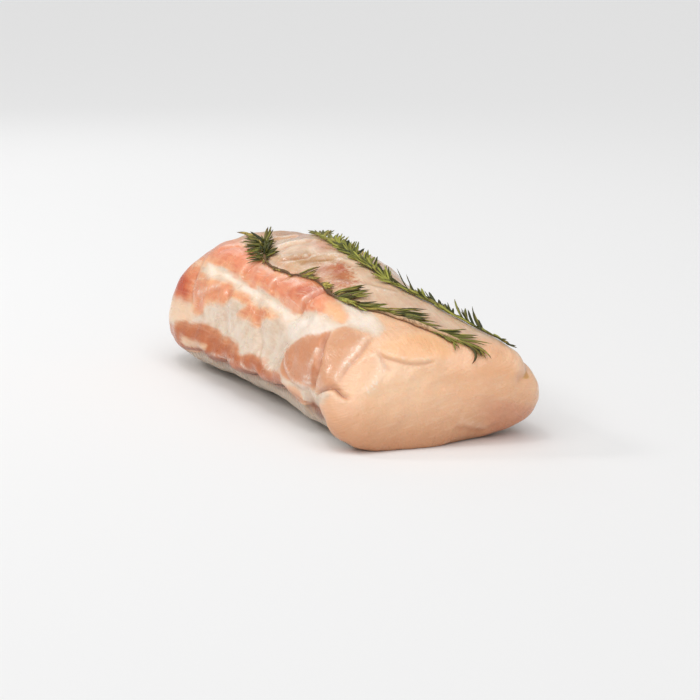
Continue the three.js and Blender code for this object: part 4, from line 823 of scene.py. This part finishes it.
# One sprig: its stem follows the route at even steps, a gap over the skin. Its radius is read off by share
# of the route, rippled by a sine and raised by a bell at each knot. Its needles are a second loft.
def makeSprig(sprig, shift, materials):
    stem = smoothLine(flatPlaces(sprig["route"]), sprigs["stemSteps"])
    walked = np.concatenate([[0], np.cumsum(np.linalg.norm(np.diff(stem, axis=0), axis=1))])
    even = np.linspace(0, walked[-1], sprigs["stemSteps"] + 1)
    stem = np.stack([np.interp(even, walked, stem[:, i]) for i in range(2)], -1)
    slope = np.gradient(stem, axis=0)
    heading = np.arctan2(slope[:, 1], slope[:, 0])
    points, normals, _, _ = skin(*skinPlaces(stem))
    share = even / even[-1]
    ripple, pace = sprigs["stemRipple"]
    radius = np.interp(share, *np.transpose(sprig["stemRadius"])) * (1 + ripple * np.sin(pace * even))
    for place, width, height in sprig["knots"]:
        radius = radius + height * np.exp(-((share - place) / width) ** 2)
    centres = points + normals * (sprigs["restGap"] + radius)[:, None]
    between = radius[None, 1:-1]
    stemRings, _ = strandRings(centres[None, 1:-1], normals[None, 1:-1], between, between,
                               np.zeros(1), sprigs["stemSides"], 0.0)
    firsts, rings, lasts, hue, ringAngle = needleShapes(sprig, stem, heading)
    mesh = loftMesh(sprig["name"], [(centres[:1] + shift, stemRings + shift, centres[-1:] + shift),
                                    (firsts + shift, rings + shift, lasts + shift)])
    count, ringCount, sides, _ = rings.shape
    upper = np.broadcast_to(np.sin(ringAngle), (count, ringCount, sides)).reshape(count, -1)
    upper = np.concatenate([np.zeros((count, 1)), upper, np.zeros((count, 1))], axis=1)
    tones = np.broadcast_to(hue[:, None, :], (*upper.shape, 2))
    tones = np.concatenate([tones, upper[..., None]], -1).reshape(-1, 3)
    stemTones = np.zeros((len(mesh.vertices) - len(tones), 3))
    addAttribute(mesh, "hue", np.concatenate([stemTones, tones]))
    reach = np.repeat(np.linspace(0, 1, ringCount + 2), [1] + [sides] * ringCount + [1])
    stemReach = np.repeat(share, [1] + [sprigs["stemSides"]] * (len(share) - 2) + [1])
    addAttribute(mesh, "reach", np.concatenate([stemReach, np.tile(reach, count)]))
    for material in materials:
        mesh.materials.append(material)
    print(sprig["name"], count, "needles,", len(mesh.polygons), "faces")
    addPiece(sprig["name"], mesh, sprig["node"])


# Gives a node's inputs their values, or links them to sockets.
def feed(tree, node, inputs):
    for name, value in inputs.items():
        if isinstance(value, bpy.types.NodeSocket):
            tree.links.new(value, node.inputs[name])
        else:
            node.inputs[name].default_value = value


# Adds a node. Inputs are values, or sockets to link from; options are the node's own settings.
def addNode(tree, kind, inputs=None, **options):
    node = tree.nodes.new("ShaderNode" + kind)
    for name, value in options.items():
        setattr(node, name, value)
    feed(tree, node, inputs or {})
    return node


# One or two values put through a named operation.
def calc(tree, operation, a, b=0.0):
    return addNode(tree, "Math", {0: a, 1: b}, operation=operation).outputs[0]


# Product of two values.
def times(tree, a, b):
    return calc(tree, "MULTIPLY", a, b)


# Sum of two values.
def plus(tree, a, b):
    return calc(tree, "ADD", a, b)


# From one colour to another by a factor. Sockets 0, 6 and 7 of a colour mix are its factor and its two
# colours, and output 2 the result.
def mixColours(tree, factor, a, b):
    return addNode(tree, "Mix", {0: factor, 6: a, 7: b}, data_type="RGBA").outputs[2]


# Smooth rise of a value between two limits, or a fall where the first limit is the higher.
def ramp(tree, value, low, high):
    inputs = {"Value": value, "From Min": low, "From Max": high}
    return addNode(tree, "MapRange", inputs, interpolation_type="SMOOTHSTEP").outputs[0]


# What a mesh holds for each point under a name: a value, or a vector.
def attribute(tree, name, output="Fac"):
    return addNode(tree, "Attribute", attribute_name=name).outputs[output]


# Normal of a surface raised by a height, which is worth so many metres.
def bumpNormal(tree, height, strength, distance):
    return addNode(tree, "Bump", {"Strength": strength, "Distance": distance, "Height": height}).outputs[0]


# An empty node group with named sockets: its tree, what it is given, and the node for its results.
def newGroup(name, inputs, outputs):
    tree = bpy.data.node_groups.new(name, "ShaderNodeTree")
    for way, sockets in (("INPUT", inputs), ("OUTPUT", outputs)):
        for label, kind in sockets.items():
            tree.interface.new_socket(name=label, in_out=way, socket_type="NodeSocket" + kind)
    return tree, tree.nodes.new("NodeGroupInput").outputs, tree.nodes.new("NodeGroupOutput")


# Places a group in a tree, and gives its outputs.
def useGroup(tree, group, inputs):
    return addNode(tree, "Group", inputs, node_tree=group).outputs


# Noise of the shared marks. Limits are the noise's values that become 0 and 1.
marks = dict(
    limits=(0.28, 0.72),
    cloud=dict(Roughness=0.55),
    fibre=dict(Detail=3.0, Roughness=0.6),
    vein=dict(Detail=2.0, Roughness=0.5, Distortion=0.6),
    veinPatch=dict(Scale=70.0, Detail=1.0),
    veinPatchLimits=(0.38, 0.62),
)


# Clouds: noise spread over the range from 0 to 1.
def cloudGroup():
    tree, given, result = newGroup("clouds", {"Vector": "Vector", "Scale": "Float", "Detail": "Float"},
                                   {"Value": "Float"})
    noise = addNode(tree, "TexNoise", {"Vector": given["Vector"], "Scale": given["Scale"],
                                       "Detail": given["Detail"], **marks["cloud"]})
    feed(tree, result, {"Value": ramp(tree, noise.outputs["Fac"], *marks["limits"])})
    return tree


# A place drawn out along X: its X is divided by the stretch.
def drawnOut(tree, vector, stretch):
    narrow = calc(tree, "DIVIDE", 1.0, stretch)
    scale = addNode(tree, "CombineXYZ", {"X": narrow, "Y": 1.0, "Z": 1.0}).outputs[0]
    return addNode(tree, "VectorMath", {0: vector, 1: scale}, operation="MULTIPLY").outputs[0]


# Fibres: noise drawn out along X by a stretch, 0 to 1.
def fibreGroup():
    tree, given, result = newGroup("fibres", {"Vector": "Vector", "Scale": "Float", "Stretch": "Float"},
                                   {"Value": "Float"})
    drawn = drawnOut(tree, given["Vector"], given["Stretch"])
    noise = addNode(tree, "TexNoise", {"Vector": drawn, "Scale": given["Scale"], **marks["fibre"]})
    feed(tree, result, {"Value": ramp(tree, noise.outputs["Fac"], *marks["limits"])})
    return tree


# Veins: thin lines where noise, drawn out along X, crosses its middle value; fainter where a cloud is low.
def veinGroup():
    tree, given, result = newGroup("veins", {"Vector": "Vector", "Scale": "Float", "Stretch": "Float",
                                             "Width": "Float"}, {"Value": "Float"})
    drawn = drawnOut(tree, given["Vector"], given["Stretch"])
    noise = addNode(tree, "TexNoise", {"Vector": drawn, "Scale": given["Scale"], **marks["vein"]})
    away = calc(tree, "ABSOLUTE", calc(tree, "SUBTRACT", noise.outputs["Fac"], 0.5))
    line = ramp(tree, away, given["Width"], 0.0)
    patches = addNode(tree, "TexNoise", {"Vector": given["Vector"], **marks["veinPatch"]})
    faint = ramp(tree, patches.outputs["Fac"], *marks["veinPatchLimits"])
    feed(tree, result, {"Value": times(tree, line, faint)})
    return tree


# One tissue over what lies under it: its mask is a smooth step over its edge, which strays by the wander,
# and its colour runs from rim to core with the depth inside, to deep in mottles and to pale along veins.
def tissueGroup():
    tree, given, result = newGroup(
        "tissue",
        {"Under": "Color", "Depth": "Float", "Wander": "Float", "Soft": "Float", "Rim Width": "Float",
         "Rim": "Color", "Core": "Color", "Deep": "Color", "Mottle": "Float", "Mottling": "Float",
         "Veins": "Float", "Veining": "Float", "Vein Tint": "Color", "Opacity": "Float"},
        {"Colour": "Color", "Mask": "Float"})
    depth = plus(tree, given["Depth"], given["Wander"])
    low = times(tree, given["Soft"], -1.0)
    mask = times(tree, ramp(tree, depth, low, given["Soft"]), given["Opacity"])
    colour = mixColours(tree, ramp(tree, depth, 0.0, given["Rim Width"]), given["Rim"], given["Core"])
    colour = mixColours(tree, times(tree, given["Mottle"], given["Mottling"]), colour, given["Deep"])
    colour = mixColours(tree, times(tree, given["Veins"], given["Veining"]), colour, given["Vein Tint"])
    feed(tree, result, {"Colour": mixColours(tree, mask, given["Under"], colour), "Mask": mask})
    return tree


# A material that holds a Principled shader and nothing else yet.
def newMaterial(name):
    material = bpy.data.materials.new(name)
    material.use_nodes = True
    tree = material.node_tree
    tree.nodes.clear()
    shader = addNode(tree, "BsdfPrincipled")
    addNode(tree, "OutputMaterial", {"Surface": shader.outputs[0]})
    return material, tree, shader


# A share is how strongly a tint is laid on, and limits are where its mask starts and ends. Clouds are
# (scale, detail), fibres (scale, stretch).
pork = dict(
    fleshLight=tint(253, 213, 176),
    fleshDark=tint(244, 194, 152),
    fleshPink=tint(236, 174, 135),
    pinkShares=dict(pinkBroad=0.4, pinkFine=0.3),
    fibreTint=tint(218, 162, 120), fibreShare=0.42,
    faceShadeTan=tint(230, 170, 122),  # painted shade on the near cut towards its hidden side
    faceLitPale=tint(254, 214, 176),  # painted light on the near cut towards its shown side
    faceShadingShare=0.6,
    faceMiddle=(-0.012, 0.045),  # where the near cut turns from painted light to painted shade, across
    lowShadeTint=tint(200, 142, 102), lowShadeShare=0.85,  # painted shade: flesh darker near the floor
    lowShadeHeight=0.03,
    streakTint=tint(252, 220, 188), streakShare=0.2, streakLimits=(0.5, 1.0),
    veinTint=tint(250, 220, 194),
    ribTint=tint(172, 160, 150), ribShare=0.55, ribLimits=(-0.5, 0.8),
    ribPitch=2.2,
    paleSheenTint=tint(252, 228, 204),
    glintTint=tint(255, 247, 236), glintShare=0.8, glintLimits=(0.6, 0.9),
    creaseShadeTint=tint(178, 100, 62), creaseShadeShare=0.8,
    creviceShadeTint=tint(104, 60, 44), creviceShadeLimits=(0.7, 1.0),
    clouds=dict(broad=(38.0, 2.0), fine=(150.0, 3.0), specks=(480.0, 2.0), edges=(55.0, 2.0),
                pinkBroad=(24.0, 1.0), pinkFine=(85.0, 3.0), wet=(55.0, 4.0), pits=(620.0, 2.0)),
    fibres=dict(body=(700.0, 7.0), cut=(280.0, 6.0), strokes=(260.0, 5.0), streaks=(560.0, 6.0)),
    veins=dict(Scale=150.0, Stretch=6.0, Width=0.03),
    cutTurn=-90.0,  # degrees that lay the near cut's fibres across
    cutTilt=17.0,  # and that raise them to the hidden side
    mottleGrain=(0.6, 0.4),  # factor of the grain in mottles, and what is there without it
    lipCloud=(0.6, 0.35),  # the same for the fine clouds in pale lips
    wander=2.2,  # millimetres by which a tissue's edge strays
    fibreWander=1.5,  # the same, in strokes along the fibres
    roughness=(0.2, 0.44),
    coat=0.5,
    coatHeights=(0.008, 0.03),  # the wet coat fades out between these heights
    coatRoughness=0.18,
    subsurface=0.25,
    subsurfaceRadius=(1.0, 0.45, 0.25),
    subsurfaceScale=0.003,
    heights=dict(grain=0.3, fine=0.8, pits=0.22, veins=0.12, ribs=-1.2),
    bumpStrength=0.5,
    bump=0.0006,
)


# Flesh with the tissues laid over it in turn, then the print of ribs, pale lips with painted sheen and
# glints, and painted shade in the folds.
def porkMaterial(clouds, fibres, veins, tissue):
    material, tree, shader = newMaterial("rawPork")
    place = addNode(tree, "TexCoord").outputs["Object"]
    skinPlace = attribute(tree, "skinPlace", "Vector")
    nearCut = attribute(tree, "nearCut")

    # clouds with the values that go by a name
    def cloud(name):
        scale, detail = pork["clouds"][name]
        return useGroup(tree, clouds, {"Vector": place, "Scale": scale, "Detail": detail})["Value"]

    # fibres with the values that go by a name, drawn over a place
    def fibre(name, vector):
        scale, stretch = pork["fibres"][name]
        return useGroup(tree, fibres, {"Vector": vector, "Scale": scale, "Stretch": stretch})["Value"]

    # a place turned about X, Y and Z
    def turned(vector, *degrees):
        rotation = [math.radians(d) for d in degrees]
        return addNode(tree, "Mapping", {"Vector": vector, "Rotation": rotation}).outputs[0]

    # a value from 0 to 1 spread evenly to either side of nothing, by half of an amount
    def stray(value, amount):
        return times(tree, calc(tree, "SUBTRACT", value, 0.5), amount)

    # a value times a factor, over a floor
    def raised(value, factor, floor):
        return plus(tree, times(tree, value, factor), floor)

    # a tint over a colour, by a mask times a share
    def over(under, mask, share, name):
        return mixColours(tree, times(tree, mask, share), under, pork[name])

    # fibres run along the piece, and on the near cut nearly level, rising to the hidden side
    tilted = turned(turned(place, 0, 0, pork["cutTurn"]), 0, pork["cutTilt"], 0)
    bodyFibres, cutFibres = fibre("body", skinPlace), fibre("cut", tilted)
    grain = addNode(tree, "Mix", {0: nearCut, 2: bodyFibres, 3: cutFibres}, data_type="FLOAT").outputs[0]
    lines = useGroup(tree, veins, {"Vector": skinPlace, **pork["veins"]})["Value"]

    broad, fine, specks = cloud("broad"), cloud("fine"), cloud("specks")
    strokes = stray(fibre("strokes", skinPlace), pork["fibreWander"])
    wander = plus(tree, stray(cloud("edges"), pork["wander"]), strokes)
    colour = mixColours(tree, broad, pork["fleshLight"], pork["fleshDark"])
    for name, share in pork["pinkShares"].items():
        colour = over(colour, cloud(name), share, "fleshPink")
    colour = over(colour, grain, pork["fibreShare"], "fibreTint")
    axes = addNode(tree, "SeparateXYZ", {"Vector": place}).outputs
    start, end = pork["faceMiddle"]
    # painted shade to the near cut's hidden side and painted light to its shown side
    hiddenShade = times(tree, ramp(tree, axes["Y"], start, end), nearCut)
    colour = over(colour, hiddenShade, pork["faceShadingShare"], "faceShadeTan")
    shownLight = times(tree, ramp(tree, axes["Y"], end, -end), nearCut)
    colour = over(colour, shownLight, pork["faceShadingShare"], "faceLitPale")
    # painted shade: the flesh darkens towards the floor
    colour = over(colour, ramp(tree, axes["Z"], pork["lowShadeHeight"], 0.0), pork["lowShadeShare"], "lowShadeTint")
    streaks = times(tree, ramp(tree, fibre("streaks", tilted), *pork["streakLimits"]), nearCut)
    colour = over(colour, streaks, pork["streakShare"], "streakTint")
    mottle = times(tree, fine, raised(grain, *pork["mottleGrain"]))
    masks = {}
    for name, look in tissues.items():
        strayed = plus(tree, wander, stray(specks, look["ragged"])) if "ragged" in look else wander
        layer = useGroup(tree, tissue, {
            "Under": colour, "Depth": attribute(tree, name), "Wander": strayed, "Soft": look["soft"],
            "Rim Width": look["rimWidth"], "Rim": look["rim"], "Core": look["core"], "Deep": look["deep"],
            "Mottle": mottle, "Mottling": look["mottle"], "Veins": lines, "Veining": look.get("veins", 0.0),
            "Vein Tint": pork["veinTint"], "Opacity": look.get("opacity", 1.0)})
        colour, masks[name] = layer["Colour"], layer["Mask"]

    # print of ribs across the fat cap
    along = addNode(tree, "SeparateXYZ", {"Vector": skinPlace}).outputs["X"]
    beat = calc(tree, "SINE", times(tree, along, 2 * math.pi / (pork["ribPitch"] * mm)))
    ribs = times(tree, ramp(tree, beat, *pork["ribLimits"]), masks["fatCap"])
    colour = over(colour, ribs, pork["ribShare"], "ribTint")
    # pale lips: partly pale membrane, partly painted sheen; the glints on them are painted highlight specks
    lips = attribute(tree, "pale")
    colour = mixColours(tree, times(tree, lips, raised(fine, *pork["lipCloud"])), colour, pork["paleSheenTint"])
    glints = times(tree, lips, ramp(tree, specks, *pork["glintLimits"]))
    colour = over(colour, glints, pork["glintShare"], "glintTint")
    # painted shade in the folds and creases, darkest in the crevice
    creaseShaded = attribute(tree, "creaseShade")
    colour = over(colour, creaseShaded, pork["creaseShadeShare"], "creaseShadeTint")
    # painted shade: where the crease shade is deepest, in the crevice under the lobes, it turns near
    # black-brown
    colour = mixColours(tree, ramp(tree, creaseShaded, *pork["creviceShadeLimits"]), colour, pork["creviceShadeTint"])

    wettest, driest = pork["roughness"]
    wet = addNode(tree, "MapRange", {"Value": cloud("wet"), "To Min": wettest, "To Max": driest}).outputs[0]
    parts = dict(grain=grain, fine=fine, pits=cloud("pits"), veins=lines, ribs=ribs)
    height = 0.0
    for name, part in parts.items():
        height = plus(tree, height, times(tree, part, pork["heights"][name]))
    coat = times(tree, ramp(tree, axes["Z"], *pork["coatHeights"]), pork["coat"])
    feed(tree, shader, {
        "Base Color": colour, "Roughness": wet,
        "Normal": bumpNormal(tree, height, pork["bumpStrength"], pork["bump"]),
        "Coat Weight": coat, "Coat Roughness": pork["coatRoughness"],
        "Subsurface Weight": pork["subsurface"], "Subsurface Radius": pork["subsurfaceRadius"],
        "Subsurface Scale": pork["subsurfaceScale"]})
    return material


# A pair of limits is where a ramp starts and ends.
needleLook = dict(
    green=tint(46, 52, 14),
    paleGreen=tint(170, 170, 74), toneLimits=(0.1, 0.95),
    dry=tint(200, 178, 84), dryLimits=(0.3, 0.8),
    brown=tint(88, 62, 32), tipLimits=(0.72, 0.95), brownLimits=(0.12, 0.4),
    footLimits=(0.3, 0.0), footShare=0.5,  # the foot is green again
    under=tint(158, 160, 88), underLimits=(-0.1, -0.9), underShare=0.75,
    spots=dict(Scale=420.0, Detail=3.0),
    roughness=0.42,
    shine=0.3,
    bumpStrength=0.25,
    bump=0.0003,
)


# hue holds how dry a needle is, a random tone for it, and how far a point faces up on it; reach runs from
# its foot to its tip. Drier needles are yellower, with brown spots and a brown tip.
def needleMaterial(clouds):
    material, tree, shader = newMaterial("rosemaryNeedles")
    place = addNode(tree, "TexCoord").outputs["Object"]
    hue = addNode(tree, "SeparateXYZ", {"Vector": attribute(tree, "hue", "Vector")}).outputs
    reach = attribute(tree, "reach")
    spots = useGroup(tree, clouds, {"Vector": place, **needleLook["spots"]})["Value"]

    # smooth rise of a value between the limits that go by a name
    def limited(value, name):
        return ramp(tree, value, *needleLook[name])

    colour = mixColours(tree, limited(hue["Y"], "toneLimits"), needleLook["green"], needleLook["paleGreen"])
    colour = mixColours(tree, limited(hue["X"], "dryLimits"), colour, needleLook["dry"])
    tip = times(tree, limited(reach, "tipLimits"), limited(hue["X"], "brownLimits"))
    brown = calc(tree, "MAXIMUM", times(tree, spots, hue["X"]), tip)
    colour = mixColours(tree, brown, colour, needleLook["brown"])
    foot = times(tree, limited(reach, "footLimits"), needleLook["footShare"])
    colour = mixColours(tree, foot, colour, needleLook["green"])
    under = times(tree, limited(hue["Z"], "underLimits"), needleLook["underShare"])
    colour = mixColours(tree, under, colour, needleLook["under"])
    feed(tree, shader, {
        "Base Color": colour, "Roughness": needleLook["roughness"],
        "Normal": bumpNormal(tree, spots, needleLook["bumpStrength"], needleLook["bump"]),
        "Specular IOR Level": needleLook["shine"]})
    return material


stemLook = dict(
    twig=tint(112, 82, 50),
    bark=tint(222, 182, 142), woodyLimits=(0.74, 0.86),  # shares of the stem where the bark sets in
    dark=tint(92, 62, 38),
    streaks=dict(Scale=1400.0, Stretch=6.0),
    patches=dict(Scale=160.0, Detail=3.0),
    roughness=0.7,
    bumpStrength=0.5,
    bump=0.0003,
)


# Twig that turns to pale bark along the stem, with dark streaks in patches: fibres times clouds.
def stemMaterial(clouds, fibres):
    material, tree, shader = newMaterial("rosemaryStem")
    place = addNode(tree, "TexCoord").outputs["Object"]
    streaks = useGroup(tree, fibres, {"Vector": place, **stemLook["streaks"]})["Value"]
    patches = useGroup(tree, clouds, {"Vector": place, **stemLook["patches"]})["Value"]
    woody = ramp(tree, attribute(tree, "reach"), *stemLook["woodyLimits"])
    colour = mixColours(tree, woody, stemLook["twig"], stemLook["bark"])
    colour = mixColours(tree, times(tree, streaks, patches), colour, stemLook["dark"])
    feed(tree, shader, {
        "Base Color": colour, "Roughness": stemLook["roughness"],
        "Normal": bumpNormal(tree, streaks, stemLook["bumpStrength"], stemLook["bump"])})
    return material


# Camera at the photograph's viewing angle, in millimetres and degrees.
view = dict(place=(962.48, -456.31, 273.17), azimuth=64.379, elevation=13.113, roll=1.595, lens=107.81,
            sensorWidth=36, clipStart=10.0)


# Axes of the view: back from azimuth and elevation, right square to it and level, then turned by the roll.
def makeCamera():
    azimuth, elevation, roll = (math.radians(view[k]) for k in ("azimuth", "elevation", "roll"))
    back = Vector((math.sin(azimuth) * math.cos(elevation), -math.cos(azimuth) * math.cos(elevation),
                   math.sin(elevation)))
    level = Vector((0, 0, 1)).cross(back).normalized()
    upright = back.cross(level)
    right = level * math.cos(roll) + upright * math.sin(roll)
    up = upright * math.cos(roll) - level * math.sin(roll)
    camera = bpy.data.objects.new("camera", bpy.data.cameras.new("camera"))
    bpy.context.scene.collection.objects.link(camera)
    turn = Matrix((right, up, back)).transposed().to_4x4()
    camera.matrix_world = Matrix.Translation(Vector(view["place"]) * mm) @ turn
    camera.data.sensor_width = view["sensorWidth"]
    camera.data.lens = view["lens"]
    camera.data.clip_start = view["clipStart"] * mm
    bpy.context.scene.camera = camera
    return right, back


# Lights stand so many metres to the left of the camera's view, up and in front of the object.
studio = dict(
    world=0.4,
    sun=dict(strength=1.75, spread=80.0, left=0.2, up=1.5, front=0.8),
    glints=[
        dict(power=2.2, size=0.2, left=0.94, up=0.76, front=-0.15),
        dict(power=1.2, size=0.18, left=0.25, up=1.2, front=0.35),
        dict(power=0.5, size=0.45, left=0.35, up=0.55, front=-0.95),
    ],
    floorSize=14.0,
    floorTint=(0.86, 0.86, 0.86, 1.0),
    floorRoughness=0.9,
)


# Aims a light at the middle of the floor from its place: left, up and front along the view's axes.
def addLight(name, light, setting, right, level):
    lamp = bpy.data.objects.new(name, light)
    bpy.context.scene.collection.objects.link(lamp)
    source = -right * setting["left"] + Vector((0, 0, setting["up"])) + level * setting["front"]
    lamp.location = source
    lamp.rotation_euler = source.to_track_quat("Z", "Y").to_euler()


# White world, one broad sun, small bright panels that show as glints, and a wide pale floor.
def makeStudio(right, back):
    world = bpy.data.worlds.new("studio")
    world.use_nodes = True
    background = world.node_tree.nodes["Background"]
    feed(world.node_tree, background, {"Color": (1, 1, 1, 1), "Strength": studio["world"]})
    bpy.context.scene.world = world
    level = Vector((back.x, back.y, 0)).normalized()
    sun = bpy.data.lights.new("sun", "SUN")
    sun.energy = studio["sun"]["strength"]
    sun.angle = math.radians(studio["sun"]["spread"])
    addLight("sun", sun, studio["sun"], right, level)
    for setting in studio["glints"]:
        panel = bpy.data.lights.new("panel", "AREA")
        panel.energy = setting["power"]
        panel.size = setting["size"]
        addLight("panel", panel, setting, right, level)
    half = studio["floorSize"] / 2
    mesh = bpy.data.meshes.new("floor")
    corners = [(-half, -half, 0), (half, -half, 0), (half, half, 0), (-half, half, 0)]
    mesh.from_pydata(corners, [], [(0, 1, 2, 3)])
    floor = bpy.data.objects.new("floor", mesh)
    bpy.context.scene.collection.objects.link(floor)
    material, tree, shader = newMaterial("paleFloor")
    feed(tree, shader, {"Base Color": studio["floorTint"], "Roughness": studio["floorRoughness"]})
    mesh.materials.append(material)
    bpy.context.scene.view_settings.view_transform = "Standard"


cameraRight, cameraBack = makeCamera()
makeStudio(cameraRight, cameraBack)
print("camera and studio ready")
clouds, fibres, veins, tissue = cloudGroup(), fibreGroup(), veinGroup(), tissueGroup()
print("node groups ready")
roast, roastShift = makeRoast()
roast.data.materials.append(porkMaterial(clouds, fibres, veins, tissue))
print("pork material with", len(tissues), "tissues")
rosemary = [stemMaterial(clouds, fibres), needleMaterial(clouds)]
for sprig in (frontSprig, rearSprig):
    makeSprig(sprig, roastShift, rosemary)

bpy.context.view_layer.update()
